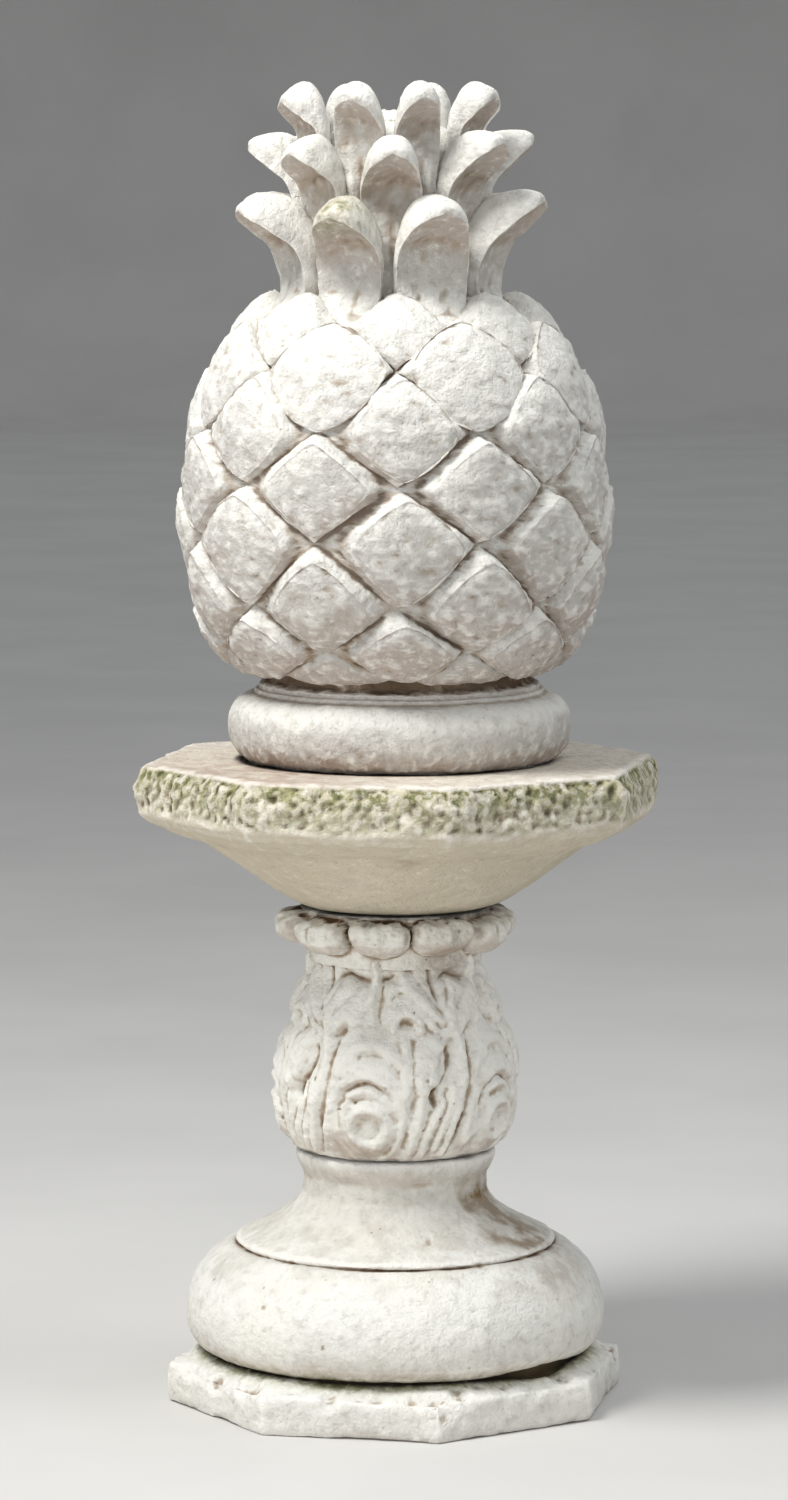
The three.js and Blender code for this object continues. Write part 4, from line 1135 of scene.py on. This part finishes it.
def concrete(name, light, shade, stain_and_shade, warmth, lit_facing=(-0.35, 0.55), dirt_and_shade=1.0, grit=1.0, top_light=0.0,
             mossy=True, underside_shade=PINK_BROWN):
    """Weathered concrete with light and shade painted into its colour: paler on surfaces that face up and
    greyer on the rest (painted light and shade), browner on surfaces that face down (painted shade), and
    dark in its crevices (dirt and painted shade).
    """
    nodes = Nodes(name)
    broad, middling, fine = nodes.speckle(70.0, 4.0), nodes.speckle(18.0, 4.0), nodes.speckle(4.5, 4.0)
    edge, stand = nodes.fact("edge"), nodes.fact("stand")
    facing = nodes.new("ShaderNodeSeparateXYZ")
    nodes.link(nodes.new("ShaderNodeNewGeometry").outputs["Normal"], facing.inputs[0])
    # Painted light and shade: surfaces that face up take the light colour, the others the shade colour
    upward = nodes.plus(facing.outputs["Z"], nodes.ramp(broad, 0.3, 0.7, -0.25, 0.25))
    colour = nodes.mix(nodes.ramp(upward, *lit_facing), shade, light)
    colour = nodes.cover(colour, CREAM, broad, 0.42, 0.68, warmth)
    colour = nodes.cover(colour, GREY, middling, 0.5, 0.72, 0.35)
    # Painted shade: surfaces that face down turn browner
    colour = nodes.cover(colour, underside_shade, upward, -0.1, -0.75, 0.5)
    blotches = nodes.plus(nodes.speckle(8.0, 5.0, 0.62), -0.5)
    blotches = nodes.times(blotches, nodes.ramp(nodes.fact("dish"), 0.0, 1.0, 1.0, 0.65))
    colour = nodes.cover(colour, ASH, blotches, 0.0, 0.22, 0.4 * grit)
    colour = nodes.cover(colour, WHITE, blotches, -0.02, -0.2, 0.4 * grit)
    # Stains, with painted shade in some places
    stained_and_shaded = nodes.times(nodes.fact("stain_and_shade"), nodes.ramp(middling, 0.3, 0.6, 0.25, 1.0))
    colour = nodes.mix(stained_and_shaded, colour, stain_and_shade)
    # Dirt and painted shade: hollows and creases turn tan, then brown
    hollow = nodes.plus(stand, nodes.ramp(middling, 0.25, 0.75, -0.9, 0.9))
    hollow = nodes.plus(hollow, nodes.times(nodes.fact("less_dirt_and_shade"), 2.6))
    colour = nodes.cover(colour, TAN, hollow, -0.4, -2.6, 0.75 * dirt_and_shade)
    colour = nodes.cover(colour, BROWN, hollow, -2.4, -6.0, 0.8 * dirt_and_shade)
    # Painted light: surfaces that face up are covered again with the light colour
    colour = nodes.cover(colour, light, facing.outputs["Z"], 0.2, 0.55, top_light)
    crease = nodes.plus(edge, nodes.ramp(nodes.fact("less_dirt_and_shade"), 2.2, 4.5, 0.0, 0.5))
    colour = nodes.cover(colour, TAN, crease, -0.1, -0.4, 0.6 * dirt_and_shade)
    colour = nodes.cover(colour, BROWN, crease, -0.35, -0.9, 0.8 * dirt_and_shade)
    # Painted highlight: raised edges turn white
    colour = nodes.cover(colour, WHITE, edge, 0.08, 0.5, 0.55)
    if mossy:
        tufts = nodes.ramp(nodes.speckle(16.0, 6.0, 0.7), 0.4, 0.52, 0.4, 1.0)
        tone = nodes.cover(MOSS, LICHEN, nodes.speckle(7.0, 5.0, 0.7), 0.45, 0.6)
        # Painted shade and painted highlight on the moss: darker in its creases, cream on its raised edges
        tone = nodes.cover(tone, MOSS_SHADE, edge, 0.0, -0.5, 0.9)
        tone = nodes.cover(tone, CREAM, edge, 0.06, 0.3, 0.5)
        colour = nodes.mix(nodes.times(nodes.fact("moss"), tufts), colour, tone)
    specks = nodes.times(nodes.ramp(nodes.grains(11.0), 0.12, 0.05), nodes.ramp(broad, 0.5, 0.65))
    colour = nodes.mix(nodes.times(specks, 0.5), colour, BROWN)
    # Soot and painted shade: dark at the joints between pieces, in creases and under overhangs
    soot_and_shade_share = nodes.times(nodes.fact("soot_and_shade"), nodes.ramp(fine, 0.2, 0.5, 0.6, 1.0))
    colour = nodes.mix(soot_and_shade_share, colour, DARK)
    roughness = nodes.ramp(middling, 0.3, 0.7, 0.82, 0.97)
    heights = [(middling, 2.2), (blotches, 2.4 * grit), (nodes.speckle(3.2, 5.0, 0.65), 1.1 * grit)]
    return nodes.finish(colour, roughness, heights)


# The first two colours of each concrete are its painted light on upward surfaces and its painted shade on
# the rest
pineapple_concrete = concrete("pineapple_concrete", linear("e4e3dd"), linear("c6c3be"), PINK_BROWN,
                              warmth=0.12, lit_facing=(-0.05, 0.5), dirt_and_shade=0.85, grit=1.4, top_light=0.3)
slab_concrete = concrete("slab_concrete", linear("e2dccf"), linear("d1c9b7"), PINK_BROWN,
                         warmth=0.5, grit=1.3, underside_shade=linear("c0b59b"))
baluster_concrete = concrete("baluster_concrete", linear("f0efe9"), linear("e8e6de"), linear("7d6342"),
                             warmth=0.15, dirt_and_shade=1.25, top_light=0.6, mossy=False)
base_concrete = concrete("base_concrete", linear("e7e7e2"), linear("dbd9d2"), linear("765d36"),
                         warmth=0.25, top_light=0.2)

base = dressed("base_casting", base_mesh(), base_concrete,
               base_weather, base_marks, wear=0.9)
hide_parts("base")
baluster = dressed("baluster_casting", baluster_mesh(), baluster_concrete,
                   baluster_weather, baluster_marks, wear=0.4)
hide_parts("baluster")
slab = dressed("slab_casting", slab_mesh(), slab_concrete,
               slab_weather, slab_marks, wear=0.6)
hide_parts("slab")
pineapple = dressed("pineapple_casting", pineapple_mesh(), pineapple_concrete,
                    pineapple_weather, pineapple_marks, wear=0.4)
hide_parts("pineapple")


# Floor, lights and camera

def plain_material(name, colour):
    nodes = Nodes(name)
    darker = tuple(c * 0.94 for c in colour)
    tone = nodes.cover(colour, darker, nodes.speckle(400.0, 3.0), 0.3, 0.7)
    return nodes.finish(tone, 0.9, [(nodes.speckle(5.0, 2.0), 0.1)])


def make_floor():
    """A round pale floor that curves up into a low backdrop, beyond every camera."""
    reach, bend, rise, columns = 14.0, 1.5, 3.2, 96
    turns = np.linspace(0, math.pi / 2, 12)
    bowl = zip(reach + bend * np.sin(turns), bend - bend * np.cos(turns))
    rows = [(0.5, 0.0), (4.0, 0.0), *bowl, (reach + bend, rise)]
    azimuth = np.arange(columns) * WHOLE_TURN / columns
    grid = np.stack([place(radius, azimuth, height) for radius, height in rows])
    index = np.arange(grid.shape[0] * columns).reshape(-1, columns)
    after = np.roll(index, -1, axis=1)
    faces = np.stack([index[:-1], index[1:], after[1:], after[:-1]], axis=-1).reshape(-1, 4).tolist()
    mesh = bpy.data.meshes.new("floor")
    mesh.from_pydata(grid.reshape(-1, 3).tolist(), [], [index[0].tolist(), *faces])
    mesh.shade_smooth()
    mesh.materials.append(plain_material("pale_floor", (0.66, 0.65, 0.63)))
    new_object("floor", mesh)


# Each light's name, diameter, power, azimuth, elevation, distance from the stack's middle and colour
LIGHTS = [
    ("key", 0.9, 68.0, -52, 58, 2.6, (1.0, 0.99, 0.97)),
    ("fill", 2.6, 34.0, 8, -4, 3.6, (0.98, 0.99, 1.0)),
    ("low", 0.8, 9.0, -44, -9, 1.9, (1.0, 0.99, 0.97)),
    ("sky", 2.4, 27.0, 80, 50, 3.0, (0.96, 0.98, 1.0)),
]


def add_light(name, size, power, azimuth, elevation, distance, colour):
    light = bpy.data.lights.new(name, "AREA")
    light.shape = "DISK"
    light.size = size
    light.energy = power
    light.color = colour
    lamp = bpy.data.objects.new(name, light)
    bpy.context.scene.collection.objects.link(lamp)
    a, e = math.radians(azimuth), math.radians(elevation)
    middle = (cad_low + cad_high) / 2
    away = Vector((math.sin(a) * math.cos(e), -math.cos(a) * math.cos(e), math.sin(e)))
    lamp.location = middle + away * distance
    lamp.rotation_mode = "QUATERNION"
    lamp.rotation_quaternion = away.to_track_quat("Z", "Y")


def make_lights():
    for light in LIGHTS:
        add_light(*light)
    world = bpy.data.worlds.new("soft_sky")
    world.use_nodes = True
    background = world.node_tree.nodes["Background"]
    background.inputs["Color"].default_value = (0.9, 0.93, 0.96, 1)
    background.inputs["Strength"].default_value = 0.4
    bpy.context.scene.world = world
    bpy.context.scene.view_settings.view_transform = "Standard"


# The photograph's view: 788 by 1500 pixels, from a little below the top, looking slightly down
PHOTO_HEIGHT = 1500
FOCAL_PIXELS = 5529
VIEW_DISTANCE, VIEW_HEIGHT, VIEW_PITCH = 4.164, 0.961, 6.38
AXIS_OFFSET = 0.0011
SENSOR = 36.0


def make_camera():
    camera = bpy.data.cameras.new("camera")
    camera.sensor_width = SENSOR
    camera.lens = FOCAL_PIXELS / PHOTO_HEIGHT * SENSOR
    holder = bpy.data.objects.new("camera", camera)
    bpy.context.scene.collection.objects.link(holder)
    holder.location = (-AXIS_OFFSET, -VIEW_DISTANCE, VIEW_HEIGHT)
    holder.rotation_euler = (math.radians(90 - VIEW_PITCH), 0, 0)
    bpy.context.scene.camera = holder


make_floor()
make_lights()
make_camera()
